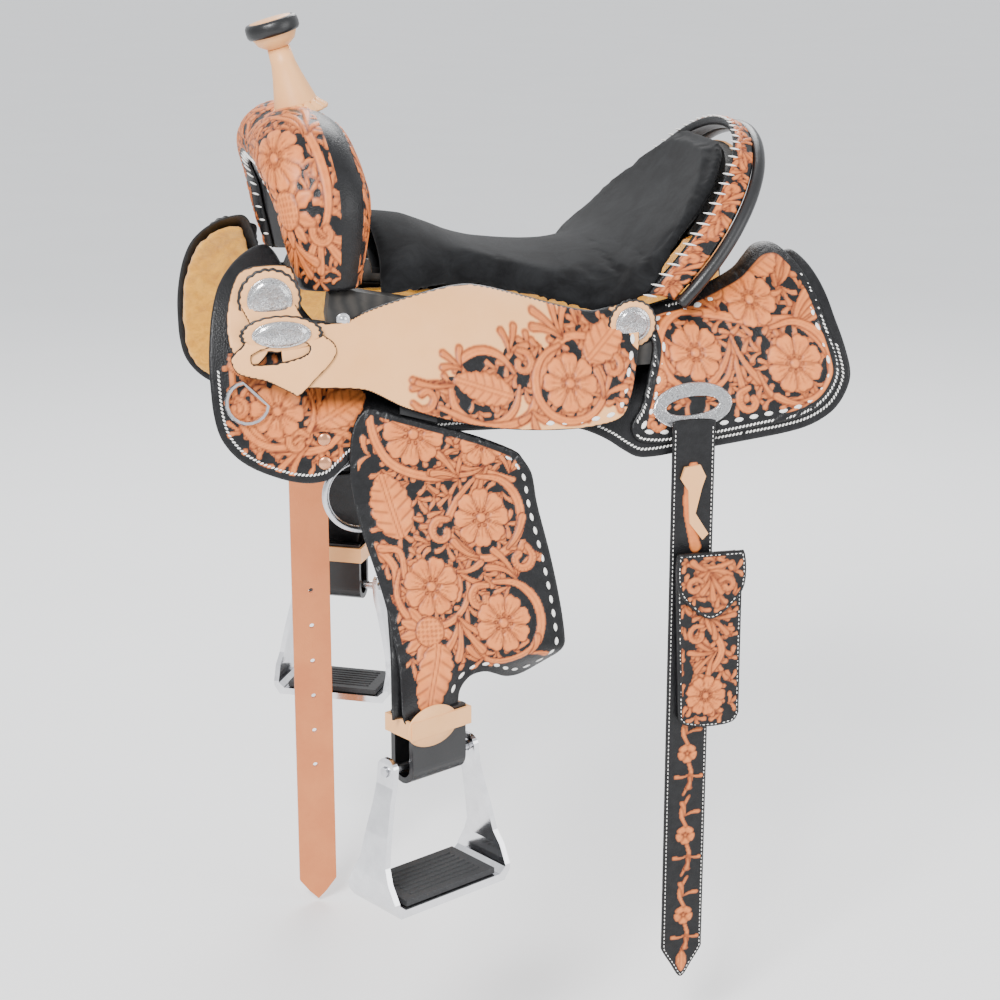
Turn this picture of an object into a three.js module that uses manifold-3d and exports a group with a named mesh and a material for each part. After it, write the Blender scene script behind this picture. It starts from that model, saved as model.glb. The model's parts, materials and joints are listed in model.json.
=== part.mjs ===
// Barrel-racing western saddle, in millimetres.
// +X points to the horse's tail, -Y to its near (left) side, +Z up.
// The origin is the middle of the horse's back under the lowest point of the seat.
import * as THREE from 'three';
import * as BufferGeometryUtils from 'three/addons/utils/BufferGeometryUtils.js';
import Module from 'manifold-3d';

const wasm = await Module();
wasm.setup();

// ---------- driving dimensions ----------
const GAP = 0.4;                // clearance between touching pieces
const LEATHER = 3.6;            // skirting leather
const FLEECE = 12;              // woolskin under the skirts
const JOCKEY_LIFT = 14;         // seat jockeys lie this far outside the skirts, over the stirrup leathers
const SKIRT_DEPTH = 250;        // how far below the ridge the saddle's side reaches its full width
const SIDE_ROUNDNESS = 2.4;     // exponent of the side's oval section
const BAR_DEPTH = 22;           // tree bars are this thick
const STEP_X = 42;              // facet size of draped panels, along the horse
const STEP_Z = 24;              // and down the side
const HORN_BASE = new THREE.Vector3(-212, 0, 250);
const HORN_LEAN = THREE.MathUtils.degToRad(-16);
const HORN_CAP_RADIUS = 27.5;
const FORK_MIDDLE = 212;        // height of the fork's middle line at its centre
const HINGE_LEFT = new THREE.Vector2(-190, -14);    // the fenders fold out along this line,
const HINGE_RIGHT = new THREE.Vector2(-20, -60);    // just below the seat jockeys
const FLARE_START = -112;       // below this height the fenders lean out
const FLARE = 0.38;             // by this much for each unit down
const FENDER_END = -297;
const STIRRUP_TURN = THREE.MathUtils.degToRad(28);
const BOLT = new THREE.Vector3(-137, -282, -354);
const BOLT_RADIUS = 5;
const LOOP_WIDTH = 66;          // the leather loop that the bolt hangs in
const LOOP_RADIUS = 17;
const LOOP_THICKNESS = 6;
const HOBBLE_WIDTH = 18;
const TREAD_WIDTH = 112;        // inside the stirrup, along the bolt
const TREAD_DEPTH = 66;
const RING_CENTRE = new THREE.Vector3(-184, -188, -110);
const RING_RADIUS = 35;
const WIRE_RADIUS = 3.4;
const BILLET_WIDTH = 44.5;      // 1 3/4 inch straps
const BILLET_CENTRE = 146;      // flank billet along the horse
const BILLET_FACE = 217;        // its inner face, from the middle plane
const BILLET_DEPTH = 7;         // doubled leather
const POUCH_DEPTH = 10;
const SEAT_FRONT = -150;
const SEAT_BACK = 226;
const SEAT_STATIONS = 18;       // sections along the seat
const SEAT_STEPS = 4;           // facets from its middle to each edge
const SEAT_PADDING = 15;
const FORK_STATIONS = 18;       // sections along the fork's arch

// ---------- colours ----------
const paint = (color, roughness, metalness = 0) =>
  new THREE.MeshStandardMaterial({ color, roughness, metalness });
const MATERIALS = {
  plain: () => paint(0xf0c8a0, 0.5),
  carved: () => paint(0xe0986a, 0.55),
  latigo: () => paint(0xc98a5c, 0.6),
  black: () => paint(0x151517, 0.4),
  suede: () => paint(0x101012, 0.95),
  fleece: () => paint(0xd79a35, 0.95),
  wood: () => paint(0xb98d5a, 0.7),
  silver: () => paint(0xd8d8da, 0.25, 1),
  steel: () => paint(0xb8babd, 0.3, 1),
  rubber: () => paint(0x101010, 0.9),
};

// ---------- helpers ----------
const saddle = new THREE.Group();

function addMesh(name, geometry, material, parent = saddle) {
  const mesh = new THREE.Mesh(geometry, MATERIALS[material]());
  mesh.name = name;
  parent.add(mesh);
  return mesh;
}

// A smooth function through a few hand-picked [input, value] pairs.
function profile(pairs) {
  const curve = new THREE.SplineCurve(pairs.map(([u, v]) => new THREE.Vector2(u, v)));
  const samples = curve.getPoints(pairs.length * 8);
  return (u) => {
    if (u <= samples[0].x) return samples[0].y;
    const next = samples.findIndex((p) => p.x >= u);
    if (next < 0) return samples[samples.length - 1].y;
    const [a, b] = [samples[next - 1], samples[next]];
    return THREE.MathUtils.mapLinear(u, a.x, b.x, a.y, b.y);
  };
}

function indexedGeometry(vertices, triangles) {
  const geometry = new THREE.BufferGeometry();
  geometry.setAttribute('position', new THREE.Float32BufferAttribute(vertices, 3));
  geometry.setIndex(triangles);
  return geometry;
}

// Closed solid through a row of rings that have equally many points each.
function loft(rings) {
  const count = rings[0].length;
  const vertices = rings.flat().flatMap((p) => [p.x, p.y, p.z]);
  const triangles = [];
  for (let r = 0; r < rings.length - 1; r += 1) {
    for (let i = 0; i < count; i += 1) {
      const a = r * count + i;
      const b = r * count + (i + 1) % count;
      triangles.push(a, b, a + count, b, b + count, a + count);
    }
  }
  for (const [i, j, k] of capTriangles(rings[0])) triangles.push(i, k, j);
  const last = (rings.length - 1) * count;
  for (const [i, j, k] of capTriangles(rings[rings.length - 1])) triangles.push(last + i, last + j, last + k);
  return outwards(indexedGeometry(vertices, triangles));
}

// Triangles that close a nearly flat ring, found in the ring's own plane.
function capTriangles(ring) {
  const normal = new THREE.Vector3();
  ring.forEach((p, i) => normal.add(new THREE.Vector3().crossVectors(p, ring[(i + 1) % ring.length])));
  normal.normalize();
  const across = new THREE.Vector3().subVectors(ring[1], ring[0]).normalize();
  const along = new THREE.Vector3().crossVectors(normal, across);
  const flat = ring.map((p) => new THREE.Vector2(p.dot(across), p.dot(along)));
  return THREE.ShapeUtils.triangulateShape(flat, []);
}

// Turns a closed geometry so that its faces point out.
function outwards(geometry) {
  const position = geometry.attributes.position;
  const index = geometry.index.array;
  const [a, b, c] = [new THREE.Vector3(), new THREE.Vector3(), new THREE.Vector3()];
  let volume = 0;
  for (let i = 0; i < index.length; i += 3) {
    a.fromBufferAttribute(position, index[i]);
    b.fromBufferAttribute(position, index[i + 1]);
    c.fromBufferAttribute(position, index[i + 2]);
    volume += a.dot(b.cross(c));
  }
  if (volume < 0) {
    for (let i = 0; i < index.length; i += 3) [index[i], index[i + 1]] = [index[i + 1], index[i]];
  }
  return geometry;
}

function mirrored(geometry) {
  const copy = BufferGeometryUtils.mergeVertices(geometry);
  copy.scale(1, -1, 1);
  const index = copy.index.array;
  for (let i = 0; i < index.length; i += 3) [index[i], index[i + 1]] = [index[i + 1], index[i]];
  return copy;
}

function addPair(name, geometry, material) {
  addMesh(`${name}_near`, geometry, material);
  addMesh(`${name}_off`, mirrored(geometry), material);
}

function toSolid(geometry) {
  const bare = geometry.clone();
  bare.deleteAttribute('normal');
  bare.deleteAttribute('uv');
  const merged = BufferGeometryUtils.mergeVertices(bare, 1e-4);
  return new wasm.Manifold(new wasm.Mesh({
    numProp: 3,
    vertProperties: new Float32Array(merged.attributes.position.array),
    triVerts: new Uint32Array(merged.index.array),
  }));
}

function toGeometry(solid) {
  const mesh = solid.getMesh();
  return indexedGeometry(Array.from(mesh.vertProperties), Array.from(mesh.triVerts));
}

const cut = (geometry, cutter) => toGeometry(toSolid(geometry).subtract(toSolid(cutter)));
const common = (first, second) => toGeometry(toSolid(first).intersect(toSolid(second)));

// A smooth closed outline through points; square corners come from repeated points.
function smoothShape(points, detail = 3) {
  const curve = new THREE.CatmullRomCurve3(
    points.map(([x, z]) => new THREE.Vector3(x, z, 0)), true, 'centripetal');
  return new THREE.Shape(curve.getPoints(points.length * detail).slice(0, -1)
    .map((p) => new THREE.Vector2(p.x, p.y)));
}

const straightShape = (points) => new THREE.Shape(points.map(([x, z]) => new THREE.Vector2(x, z)));

// An outline in the XZ plane pushed along Y from yFrom to yTo.
function sideways(shape, yFrom, yTo) {
  const depth = yTo - yFrom;
  const geometry = new THREE.ExtrudeGeometry(shape, { depth, bevelEnabled: false, curveSegments: 5 });
  geometry.rotateX(Math.PI / 2);
  geometry.translate(0, yTo, 0);
  return geometry;
}

// Near-side leather panel: the outline cut from a sheet between two distances outside a surface.
// Every sheet shares one lattice and one diagonal, so layers that lie on each other never cross.
function drapedPanel(shape, surface, inner, outer, stepX = STEP_X, stepZ = STEP_Z) {
  const box = new THREE.Box2().setFromPoints(shape.getPoints());
  const firstX = Math.floor(box.min.x / stepX - 0.01);
  const columns = Math.ceil(box.max.x / stepX + 0.01) - firstX;
  const firstZ = Math.floor(box.min.y / stepZ - 0.01);
  const rows = Math.ceil(box.max.y / stepZ + 0.01) - firstZ;
  const vertices = [];
  for (const offset of [outer, inner]) {
    for (let i = 0; i <= columns; i += 1) {
      for (let j = 0; j <= rows; j += 1) {
        const [x, z] = [(firstX + i) * stepX, (firstZ + j) * stepZ];
        vertices.push(x, -surface(x, z) - offset, z);
      }
    }
  }
  const at = (layer, i, j) => (layer * (columns + 1) + i) * (rows + 1) + j;
  const triangles = [];
  for (let i = 0; i < columns; i += 1) {
    for (let j = 0; j < rows; j += 1) {
      triangles.push(at(0, i, j), at(0, i + 1, j), at(0, i, j + 1));
      triangles.push(at(0, i + 1, j), at(0, i + 1, j + 1), at(0, i, j + 1));
      triangles.push(at(1, i, j), at(1, i, j + 1), at(1, i + 1, j));
      triangles.push(at(1, i + 1, j), at(1, i, j + 1), at(1, i + 1, j + 1));
    }
  }
  const wall = (i, j, k, l) => {
    triangles.push(at(0, i, j), at(1, i, j), at(0, k, l));
    triangles.push(at(1, i, j), at(1, k, l), at(0, k, l));
  };
  for (let i = 0; i < columns; i += 1) {
    wall(i, 0, i + 1, 0);
    wall(i + 1, rows, i, rows);
  }
  for (let j = 0; j < rows; j += 1) {
    wall(0, j + 1, 0, j);
    wall(columns, j, columns, j + 1);
  }
  return common(outwards(indexedGeometry(vertices, triangles)), sideways(shape, -420, 20));
}

// ---------- the saddle's side ----------
const fullWidth = profile([[-330, 192], [-100, 206], [100, 214], [330, 222]]);
const ridge = profile([
  [-330, 152], [-230, 146], [-150, 118], [0, 96], [150, 102], [250, 122], [330, 132],
]);

// Distance of the skirts' outer face from the middle plane.
function side(x, z) {
  const drop = THREE.MathUtils.clamp((ridge(x) - z) / SKIRT_DEPTH, 0, 1);
  return fullWidth(x) * (1 - (1 - drop) ** SIDE_ROUNDNESS) ** (1 / SIDE_ROUNDNESS);
}

// The skirts pass under the tree bars, so they step inward there.
function underBars(x, z) {
  const height = THREE.MathUtils.smoothstep(z, -34, -2);
  const front = THREE.MathUtils.smoothstep(x, -254, -212);
  const rear = 1 - THREE.MathUtils.smoothstep(x, 252, 290);
  return side(x, z) - (BAR_DEPTH + 2 * GAP) * height * front * rear;
}

const skirtShape = smoothShape([
  [-250, 116], [-260, 126], [-288, 117], [-312, 92], [-324, 48], [-326, 0], [-320, -42], [-302, -67],
  [-272, -84], [-238, -93], [-214, -89], [-190, -68], [-130, -52], [-30, -50], [34, -53], [64, -66],
  [92, -83], [130, -81], [180, -75], [228, -68], [268, -60], [298, -43], [315, -14], [314, 8], [306, 44],
  [298, 80],
  [282, 103], [250, 84], [120, 46], [0, 36], [-120, 42], [-214, 52], [-236, 80],
], 2);

function makeSkirts() {
  addPair('skirt', drapedPanel(skirtShape, underBars, -LEATHER, 0), 'black');
  const fleeceShape = smoothShape([
    [-254, 108], [-284, 108], [-306, 84], [-318, 46], [-320, 0], [-314, -40], [-297, -62], [-268, -76],
    [-250, -70], [-242, -36], [-226, -10], [-136, -8], [-118, -40], [34, -47], [92, -77], [180, -69],
    [264, -55], [293, -38], [309, -12], [300, 46], [292, 80], [278, 95], [120, 40], [0, 30], [-120, 36],
    [-216, 44], [-240, 76],
  ], 2);
  addPair('fleece_lining',
    drapedPanel(fleeceShape, underBars, -LEATHER - GAP - FLEECE, -LEATHER - GAP), 'fleece');
}

function makeBars() {
  const barShape = smoothShape([
    [-204, 82], [-160, 78], [-80, 62], [0, 46], [60, 44], [120, 52], [190, 68], [240, 78], [246, 50],
    [230, 22], [140, 6], [0, 3], [-120, 3], [-198, 6], [-208, 40],
  ], 2);
  addPair('tree_bar', drapedPanel(barShape, side, -BAR_DEPTH - GAP, -GAP), 'wood');
}

function makeJockeys() {
  const seatJockey = smoothShape([
    [-248, 4], [-236, 3], [-203, 1], [-177, -3], [-146, -19], [-98, -35], [-48, -45], [12, -49], [52, -46],
    [74, -39], [84, -22], [93, 6], [102, 40], [98, 60], [84, 60], [60, 56], [25, 62], [-21, 74], [-60, 82],
    [-100, 80], [-150, 72], [-176, 66], [-196, 60], [-222, 62], [-240, 66], [-256, 52], [-258, 24],
  ], 2);
  addPair('seat_jockey', drapedPanel(seatJockey, side, JOCKEY_LIFT, JOCKEY_LIFT + LEATHER), 'plain');
  const frontJockey = smoothShape([
    [-240, 108], [-270, 112], [-292, 106], [-304, 84], [-309, 60], [-306, 40], [-296, 28], [-282, 26],
    [-270, 40], [-262, 70], [-246, 76],
  ], 2);
  addPair('front_jockey', drapedPanel(frontJockey, side, JOCKEY_LIFT, JOCKEY_LIFT + LEATHER), 'plain');
  const keeper = smoothShape([
    [-270, 106], [-290, 98], [-296, 84], [-287, 62], [-296, 44], [-307, 34], [-302, 20], [-276, 12],
    [-252, 0], [-246, -3], [-228, 12], [-206, 34], [-208, 44], [-228, 58], [-240, 76], [-244, 92],
    [-256, 104],
  ], 2);
  const slot = new THREE.Path([[-287, 28], [-233, 36], [-233, 44], [-287, 36]]
    .map(([x, z]) => new THREE.Vector2(x, z)));
  keeper.holes.push(slot);
  const keeperBase = JOCKEY_LIFT + LEATHER + GAP;
  addPair('latigo_keeper', drapedPanel(keeper, side, keeperBase, keeperBase + LEATHER, 24), 'plain');
}

function makeHousings() {
  const housing = smoothShape([
    [113, 52], [116, 24], [106, -8], [96, -36], [86, -52], [92, -66], [130, -69], [180, -63], [224, -56],
    [262, -49], [288, -34], [303, -10], [303, 6], [295, 42], [287, 78], [268, 108], [244, 106], [216, 88],
    [150, 62],
  ], 2);
  addPair('rear_housing', drapedPanel(housing, side, GAP, GAP + LEATHER), 'carved');
}

// ---------- fork, horn and swell ----------
const forkHalfDepth = profile([[0, 46], [0.45, 48], [0.7, 44], [1, 30]]);
const forkHalfHeight = profile([[0, 34], [0.35, 38], [0.6, 34], [1, 20]]);
const forkHalf = [
  [-202, 130, 86], [-204, 131, 128], [-206, 124, 168], [-214, 96, 200], [-217, 50, FORK_MIDDLE + 2],
];
const forkPath = new THREE.CatmullRomCurve3([
  ...forkHalf.map(([x, y, z]) => new THREE.Vector3(x, -y, z)),
  new THREE.Vector3(-217, 0, FORK_MIDDLE),
  ...forkHalf.toReversed().map(([x, y, z]) => new THREE.Vector3(x, y, z)),
]);

// One ring of the arch at u, at a share of its full section, from angle a0 to a1 (degrees).
function forkArc(u, share, a0, a1, steps) {
  const centre = forkPath.getPointAt(u);
  const along = forkPath.getTangentAt(u);
  along.x = 0;
  along.normalize();
  const out = new THREE.Vector3(0, -along.z, along.y);
  const fromTop = Math.abs(2 * u - 1);
  const points = [];
  for (let i = 0; i <= steps; i += 1) {
    const angle = THREE.MathUtils.degToRad(THREE.MathUtils.lerp(a0, a1, i / steps));
    points.push(centre.clone()
      .addScaledVector(new THREE.Vector3(1, 0, 0), Math.cos(angle) * forkHalfDepth(fromTop) * share)
      .addScaledVector(out, Math.sin(angle) * forkHalfHeight(fromTop) * share));
  }
  return points;
}

function forkStrip(shareIn, shareOut, a0, a1, steps, stations = FORK_STATIONS) {
  const rings = [];
  for (let s = 0; s <= stations; s += 1) {
    const u = s / stations;
    rings.push([...forkArc(u, shareOut, a0, a1, steps), ...forkArc(u, shareIn, a0, a1, steps).reverse()]);
  }
  return loft(rings);
}

function makeFork() {
  const rings = [];
  for (let s = 0; s <= FORK_STATIONS; s += 1) rings.push(forkArc(s / FORK_STATIONS, 0.84, 0, 324, 9));
  addMesh('fork', loft(rings), 'wood');
  addMesh('swell_cover', forkStrip(0.88, 1, -38, 218, 10), 'carved');
  addMesh('gullet_cover', forkStrip(0.88, 0.98, 222, 318, 4), 'black');
}

function makeHorn() {
  const horn = new THREE.Group();
  horn.position.copy(HORN_BASE);
  horn.rotation.y = HORN_LEAN;
  saddle.add(horn);
  const turned = (points) => {
    const geometry = new THREE.LatheGeometry(points.map(([r, z]) => new THREE.Vector2(r, z)), 16);
    geometry.rotateX(Math.PI / 2);
    return geometry;
  };
  addMesh('horn_core', turned([[0, 2], [13, 2], [7, 60], [7, 68], [0, 68]]), 'steel', horn);
  addMesh('horn_neck_cover',
    turned([[13.4, 2], [22, 2], [18, 20], [12.5, 44], [11.5, 60], [7.4, 60], [13.4, 2]]), 'plain', horn);
  addMesh('horn_cap', turned([[0, 68.4], [7.4, 68.4], [7.4, 60.4], [12, 60.4], [HORN_CAP_RADIUS - 4.4, 73],
    [HORN_CAP_RADIUS - 4.4, 88], [0, 90]]), 'plain', horn);
  const rim = [[-4, 75], [-1, 74], [0, 78], [0, 85], [-2, 89], [-4, 89], [-4, 75]];
  addMesh('horn_cap_rim', turned(rim.map(([r, z]) => [HORN_CAP_RADIUS + r, z])), 'black', horn);
}

// ---------- seat and cantle ----------
const seatWidth = profile([[-160, 96], [-128, 98], [-82, 84], [-56, 80], [-21, 88], [25, 112], [63, 126],
  [92, 142], [119, 157], [142, 153], [174, 138], [200, 113], [216, 84], [226, 48], [231, 12]]);
const seatEdge = profile([[-160, 90], [-128, 92], [-82, 96], [-56, 95], [-21, 88], [25, 78], [63, 72],
  [92, 76], [119, 90], [142, 112], [174, 146], [200, 179], [216, 202], [226, 216], [231, 220]]);
const seatMiddle = profile([[-160, 140], [-128, 133], [-82, 116], [-56, 105], [-21, 95], [25, 90], [63, 91],
  [92, 94], [119, 103], [142, 117], [174, 143], [200, 173], [216, 197], [226, 213], [231, 220]]);

// Height of the seat's top at a share of its half width.
function seatTop(x, share) {
  return THREE.MathUtils.lerp(seatMiddle(x), seatEdge(x), share * share);
}

// Padding or ground seat between two depths under the seat's top, over the inner share of its width.
function seatLayer(stations, innerSteps, under, over) {
  const rings = [];
  for (let s = 0; s <= stations; s += 1) {
    const x = THREE.MathUtils.lerp(SEAT_FRONT, SEAT_BACK, s / SEAT_STATIONS);
    const half = seatWidth(x);
    const top = [];
    const bottom = [];
    for (let i = -innerSteps; i <= innerSteps; i += 1) {
      const share = i / SEAT_STEPS;
      const z = seatTop(x, share);
      top.push(new THREE.Vector3(x, share * half, z - over));
      bottom.push(new THREE.Vector3(x, share * half, z - under));
    }
    rings.push([...top, ...bottom.reverse()]);
  }
  return loft(rings);
}

function makeSeat() {
  addMesh('suede_seat', seatLayer(SEAT_STATIONS, SEAT_STEPS, SEAT_PADDING, 0), 'suede');
  const top = SEAT_PADDING + 2;
  const thickness = 6;
  addMesh('ground_seat', seatLayer(SEAT_STATIONS - 1, SEAT_STEPS - 1, top + thickness, top), 'latigo');
}

const cantleRim = new THREE.CatmullRomCurve3([
  [112, -163, 70], [128, -166, 92], [152, -160, 118], [182, -144, 152], [208, -118, 185], [226, -84, 209],
  [237, -44, 223], [241, 0, 227], [237, 44, 223], [226, 84, 209], [208, 118, 185], [182, 144, 152],
  [152, 160, 118], [128, 166, 92], [112, 163, 70],
].map((p) => new THREE.Vector3(...p)));
const cantleOuter = new THREE.CatmullRomCurve3([
  [148, -170, 64], [166, -172, 84], [190, -166, 110], [214, -153, 140], [234, -132, 167], [250, -102, 192],
  [260, -58, 212], [264, 0, 220], [260, 58, 212], [250, 102, 192], [234, 132, 167], [214, 153, 140],
  [190, 166, 110], [166, 172, 84], [148, 170, 64],
].map((p) => new THREE.Vector3(...p)));

function cantleStrip(curveAt, stations = 26) {
  const rings = [];
  for (let s = 0; s <= stations; s += 1) {
    const u = s / stations;
    rings.push(curveAt(cantleRim.getPointAt(u), cantleOuter.getPointAt(u)));
  }
  return loft(rings);
}

const BELOW = new THREE.Vector3(0.35, 0, -1).normalize();

function makeCantle() {
  addMesh('cantle_roll', cantleStrip((rim, outer) => {
    const edge = rim.clone().lerp(outer, 0.78);
    return [rim, edge, edge.clone().addScaledVector(BELOW, 9), rim.clone().addScaledVector(BELOW, 9)];
  }), 'carved');
  const bindingRadius = 4.6;
  addMesh('cantle_binding', cantleStrip((rim, outer) => {
    const out = new THREE.Vector3().subVectors(outer, rim).normalize();
    return [0, 60, 120, 180, 240, 300].map((degrees) => {
      const angle = THREE.MathUtils.degToRad(degrees);
      return outer.clone().addScaledVector(out, bindingRadius * Math.cos(angle))
        .addScaledVector(BELOW, bindingRadius * Math.sin(angle) + 3);
    });
  }), 'black');
  const board = [];
  const back = [];
  const stations = 18;
  for (let s = 0; s <= stations; s += 1) {
    const u = THREE.MathUtils.lerp(0.13, 0.87, s / stations);
    const top = cantleRim.getPointAt(u);
    const along = cantleRim.getTangentAt(u);
    const out = new THREE.Vector3(-along.y, along.x, 0).normalize().multiplyScalar(-1);
    top.addScaledVector(out, -7);
    top.z -= 25;
    const foot = top.clone();
    foot.z = 58 + 0.2 * top.z;
    foot.addScaledVector(out, -0.12 * (top.z - foot.z));
    const slab = (from, to) => [
      top.clone().addScaledVector(out, from), top.clone().addScaledVector(out, to),
      foot.clone().addScaledVector(out, to), foot.clone().addScaledVector(out, from)];
    board.push(slab(0, 9));
    back.push(slab(9.5, 13));
  }
  addMesh('cantle_board', loft(board), 'wood');
  addMesh('cantle_back', loft(back), 'carved');
}

// ---------- silver on the side ----------
// Lays a piece, made flat in XZ with +Y outwards, on the near side at a distance from the skirt's face.
function onSide(geometry, x, z, lift) {
  const reach = 2;
  const slopeX = (side(x + reach, z) - side(x - reach, z)) / (2 * reach);
  const slopeZ = (side(x, z + reach) - side(x, z - reach)) / (2 * reach);
  const normal = new THREE.Vector3(-slopeX, 1, -slopeZ).normalize();
  const turn = new THREE.Quaternion().setFromUnitVectors(new THREE.Vector3(0, 1, 0), normal);
  const place = new THREE.Vector3(x, side(x, z) + lift, z);
  geometry.applyMatrix4(new THREE.Matrix4().compose(place, turn, new THREE.Vector3(1, 1, 1)));
  geometry.deleteAttribute('normal');
  geometry.deleteAttribute('uv');
  return mirrored(geometry);
}

function domed(radius, height) {
  const profilePoints = [[0, 0], [radius, 0], [radius, 1.2], [radius * 0.75, height * 0.8], [0, height]];
  return new THREE.LatheGeometry(profilePoints.map(([r, y]) => new THREE.Vector2(r, y)), 14);
}

function makeConchos() {
  const jockeyFace = JOCKEY_LIFT + LEATHER;
  const keeperFace = jockeyFace + GAP + LEATHER;
  addPair('front_concho', onSide(domed(22, 6), -266, 84, keeperFace + 2.4), 'silver');
  addPair('oval_concho', onSide(domed(13, 5).scale(2.3, 1, 1), -258, 54, keeperFace + 2.4), 'silver');
  addPair('seat_concho', onSide(domed(18, 6), 96, 44, jockeyFace + 2.4), 'silver');
}

// Flat engraved plate with a slot that the flank billet hangs in.
function makeRearPlates() {
  const oval = (halfLength, halfHeight) => {
    const path = new THREE.Shape();
    path.absellipse(0, 0, halfLength, halfHeight, 0, Math.PI * 2, false, THREE.MathUtils.degToRad(6));
    return path.getPoints(6).map((p) => [p.x + 149, p.y - 34]);
  };
  const shape = straightShape(oval(41, 22));
  shape.holes.push(new THREE.Path(oval(27, 8.5).map(([x, z]) => new THREE.Vector2(x, z))));
  addPair('rear_rigging_plate', drapedPanel(shape, side, 2 * GAP + LEATHER, 2 * GAP + LEATHER + 3), 'silver');
}

// ---------- rings, dees and straps ----------
function makeRings() {
  const ring = new THREE.TorusGeometry(RING_RADIUS, WIRE_RADIUS, 6, 24);
  ring.rotateX(Math.PI / 2);
  ring.translate(RING_CENTRE.x, RING_CENTRE.y, RING_CENTRE.z);
  addPair('rigging_ring', ring, 'steel');
  addPair('breast_dee', onSide(deeRing(), -292, -11, 4), 'steel');
}

// A ring with one straight side, lying in the XZ plane with the straight side up and to the rear.
function deeRing() {
  const radius = 20;
  const chord = 11;
  const ring = new THREE.TorusGeometry(radius, 2.4, 6, 20);
  const position = ring.attributes.position;
  for (let i = 0; i < position.count; i += 1) {
    const angle = Math.atan2(position.getY(i), position.getX(i));
    const excess = radius * Math.cos(angle) - chord;
    if (excess > 0) position.setX(i, position.getX(i) - excess);
  }
  ring.rotateX(Math.PI / 2);
  ring.rotateY(-Math.PI / 4);
  return ring;
}

function makeRiggingStraps() {
  const { x, y, z } = RING_CENTRE;
  const strap = straightShape([[x - 16, z + 24], [x + 16, z + 24], [x + 20, z + 61], [x - 20, z + 61]]);
  addPair('rigging_strap', sideways(strap, y + WIRE_RADIUS + GAP, y + WIRE_RADIUS + GAP + 3), 'black');
}

function makeOffBillet() {
  const { x } = RING_CENTRE;
  const half = BILLET_WIDTH / 2;
  const top = RING_CENTRE.z - RING_RADIUS - WIRE_RADIUS - 1.2;
  const shape = straightShape([
    [x - half, top], [x + half, top], [x + half, -700], [x + 10, -716], [x, -726], [x - 10, -716],
    [x - half, -700],
  ]);
  for (let hole = 0; hole < 6; hole += 1) {
    const path = new THREE.Path();
    path.absellipse(x, -330 - hole * 44, 3, 3, 0, Math.PI * 2);
    shape.holes.push(path);
  }
  const y = -RING_CENTRE.y;
  addMesh('off_billet', sideways(shape, y - 2.5, y + 2.5), 'latigo');
}

function makeFlankBillet() {
  const half = BILLET_WIDTH / 2;
  const x = BILLET_CENTRE;
  const shape = straightShape([
    [x - half, -46], [x + half, -46], [x + half, -622], [x + 12, -640], [x, -657], [x - 12, -640],
    [x - half, -622],
  ]);
  const billetOuter = BILLET_FACE + BILLET_DEPTH;
  addMesh('flank_billet', sideways(shape, -billetOuter, -BILLET_FACE), 'black');
  const tie = smoothShape([[x - 10, -92], [x - 14, -104], [x - 6, -116], [x - 4, -150], [x + 10, -168],
    [x + 16, -162], [x + 2, -140], [x + 8, -114], [x + 12, -102], [x + 6, -90]], 1);
  addMesh('lace_tie', sideways(tie, -billetOuter - 4, -billetOuter - GAP), 'plain');
  const pouchFace = billetOuter + GAP;
  const pouch = smoothShape([[x - 16, -182], [x + 46, -182], [x + 52, -196], [x + 53, -356], [x + 46, -366],
    [x - 4, -366], [x - 12, -358], [x - 18, -200]], 1);
  addMesh('pouch', sideways(pouch, -pouchFace - POUCH_DEPTH, -pouchFace), 'carved');
  const flap = smoothShape([[x - 17, -179], [x + 51, -179], [x + 53, -216], [x + 38, -238], [x + 18, -250],
    [x - 2, -238], [x - 17, -218]], 1);
  const flapFace = pouchFace + POUCH_DEPTH + GAP;
  addMesh('pouch_flap', sideways(flap, -flapFace - LEATHER, -flapFace), 'carved');
}

// ---------- fenders, stirrup leathers and stirrups ----------
// Height of the line that the fenders fold out along.
function hingeLine(x) {
  return THREE.MathUtils.mapLinear(x, HINGE_LEFT.x, HINGE_RIGHT.x, HINGE_LEFT.y, HINGE_RIGHT.y);
}

// Distance of the fender's inner face from the middle plane.
function fenderSide(x, z) {
  return side(-100, Math.max(z, FLARE_START)) + 2 + Math.max(0, FLARE_START - z) * FLARE;
}

function makeFenders() {
  const onLine = (x, below) => [x, hingeLine(x) - below];
  const shape = smoothShape([
    onLine(-176, 8), onLine(-176, 8), [-190, -40], [-197, -70], [-195, -104], [-188, -141], [-179, -174],
    [-171, -207], [-165, -245], [-160, -280], [-158, FENDER_END + 4], [-150, FENDER_END], [-108, FENDER_END],
    [-99, FENDER_END + 4], [-96, -284], [-87, -277], [-70, -276], [-46, -283], [-24, -284], [-6, -277],
    [3, -262], [5, -244], [2, -205], [-4, -165], [-12, -123], [-17, -92], onLine(-34, 14), onLine(-34, 14),
  ], 2);
  addPair('fender', drapedPanel(shape, fenderSide, 0, LEATHER), 'carved');
  const upper = straightShape([onLine(-146, 2), onLine(-110, 2), onLine(-110, -24), onLine(-146, -24)]);
  addPair('stirrup_leather', drapedPanel(upper, side, 5.2, 5.2 + LEATHER), 'black');
}

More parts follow.
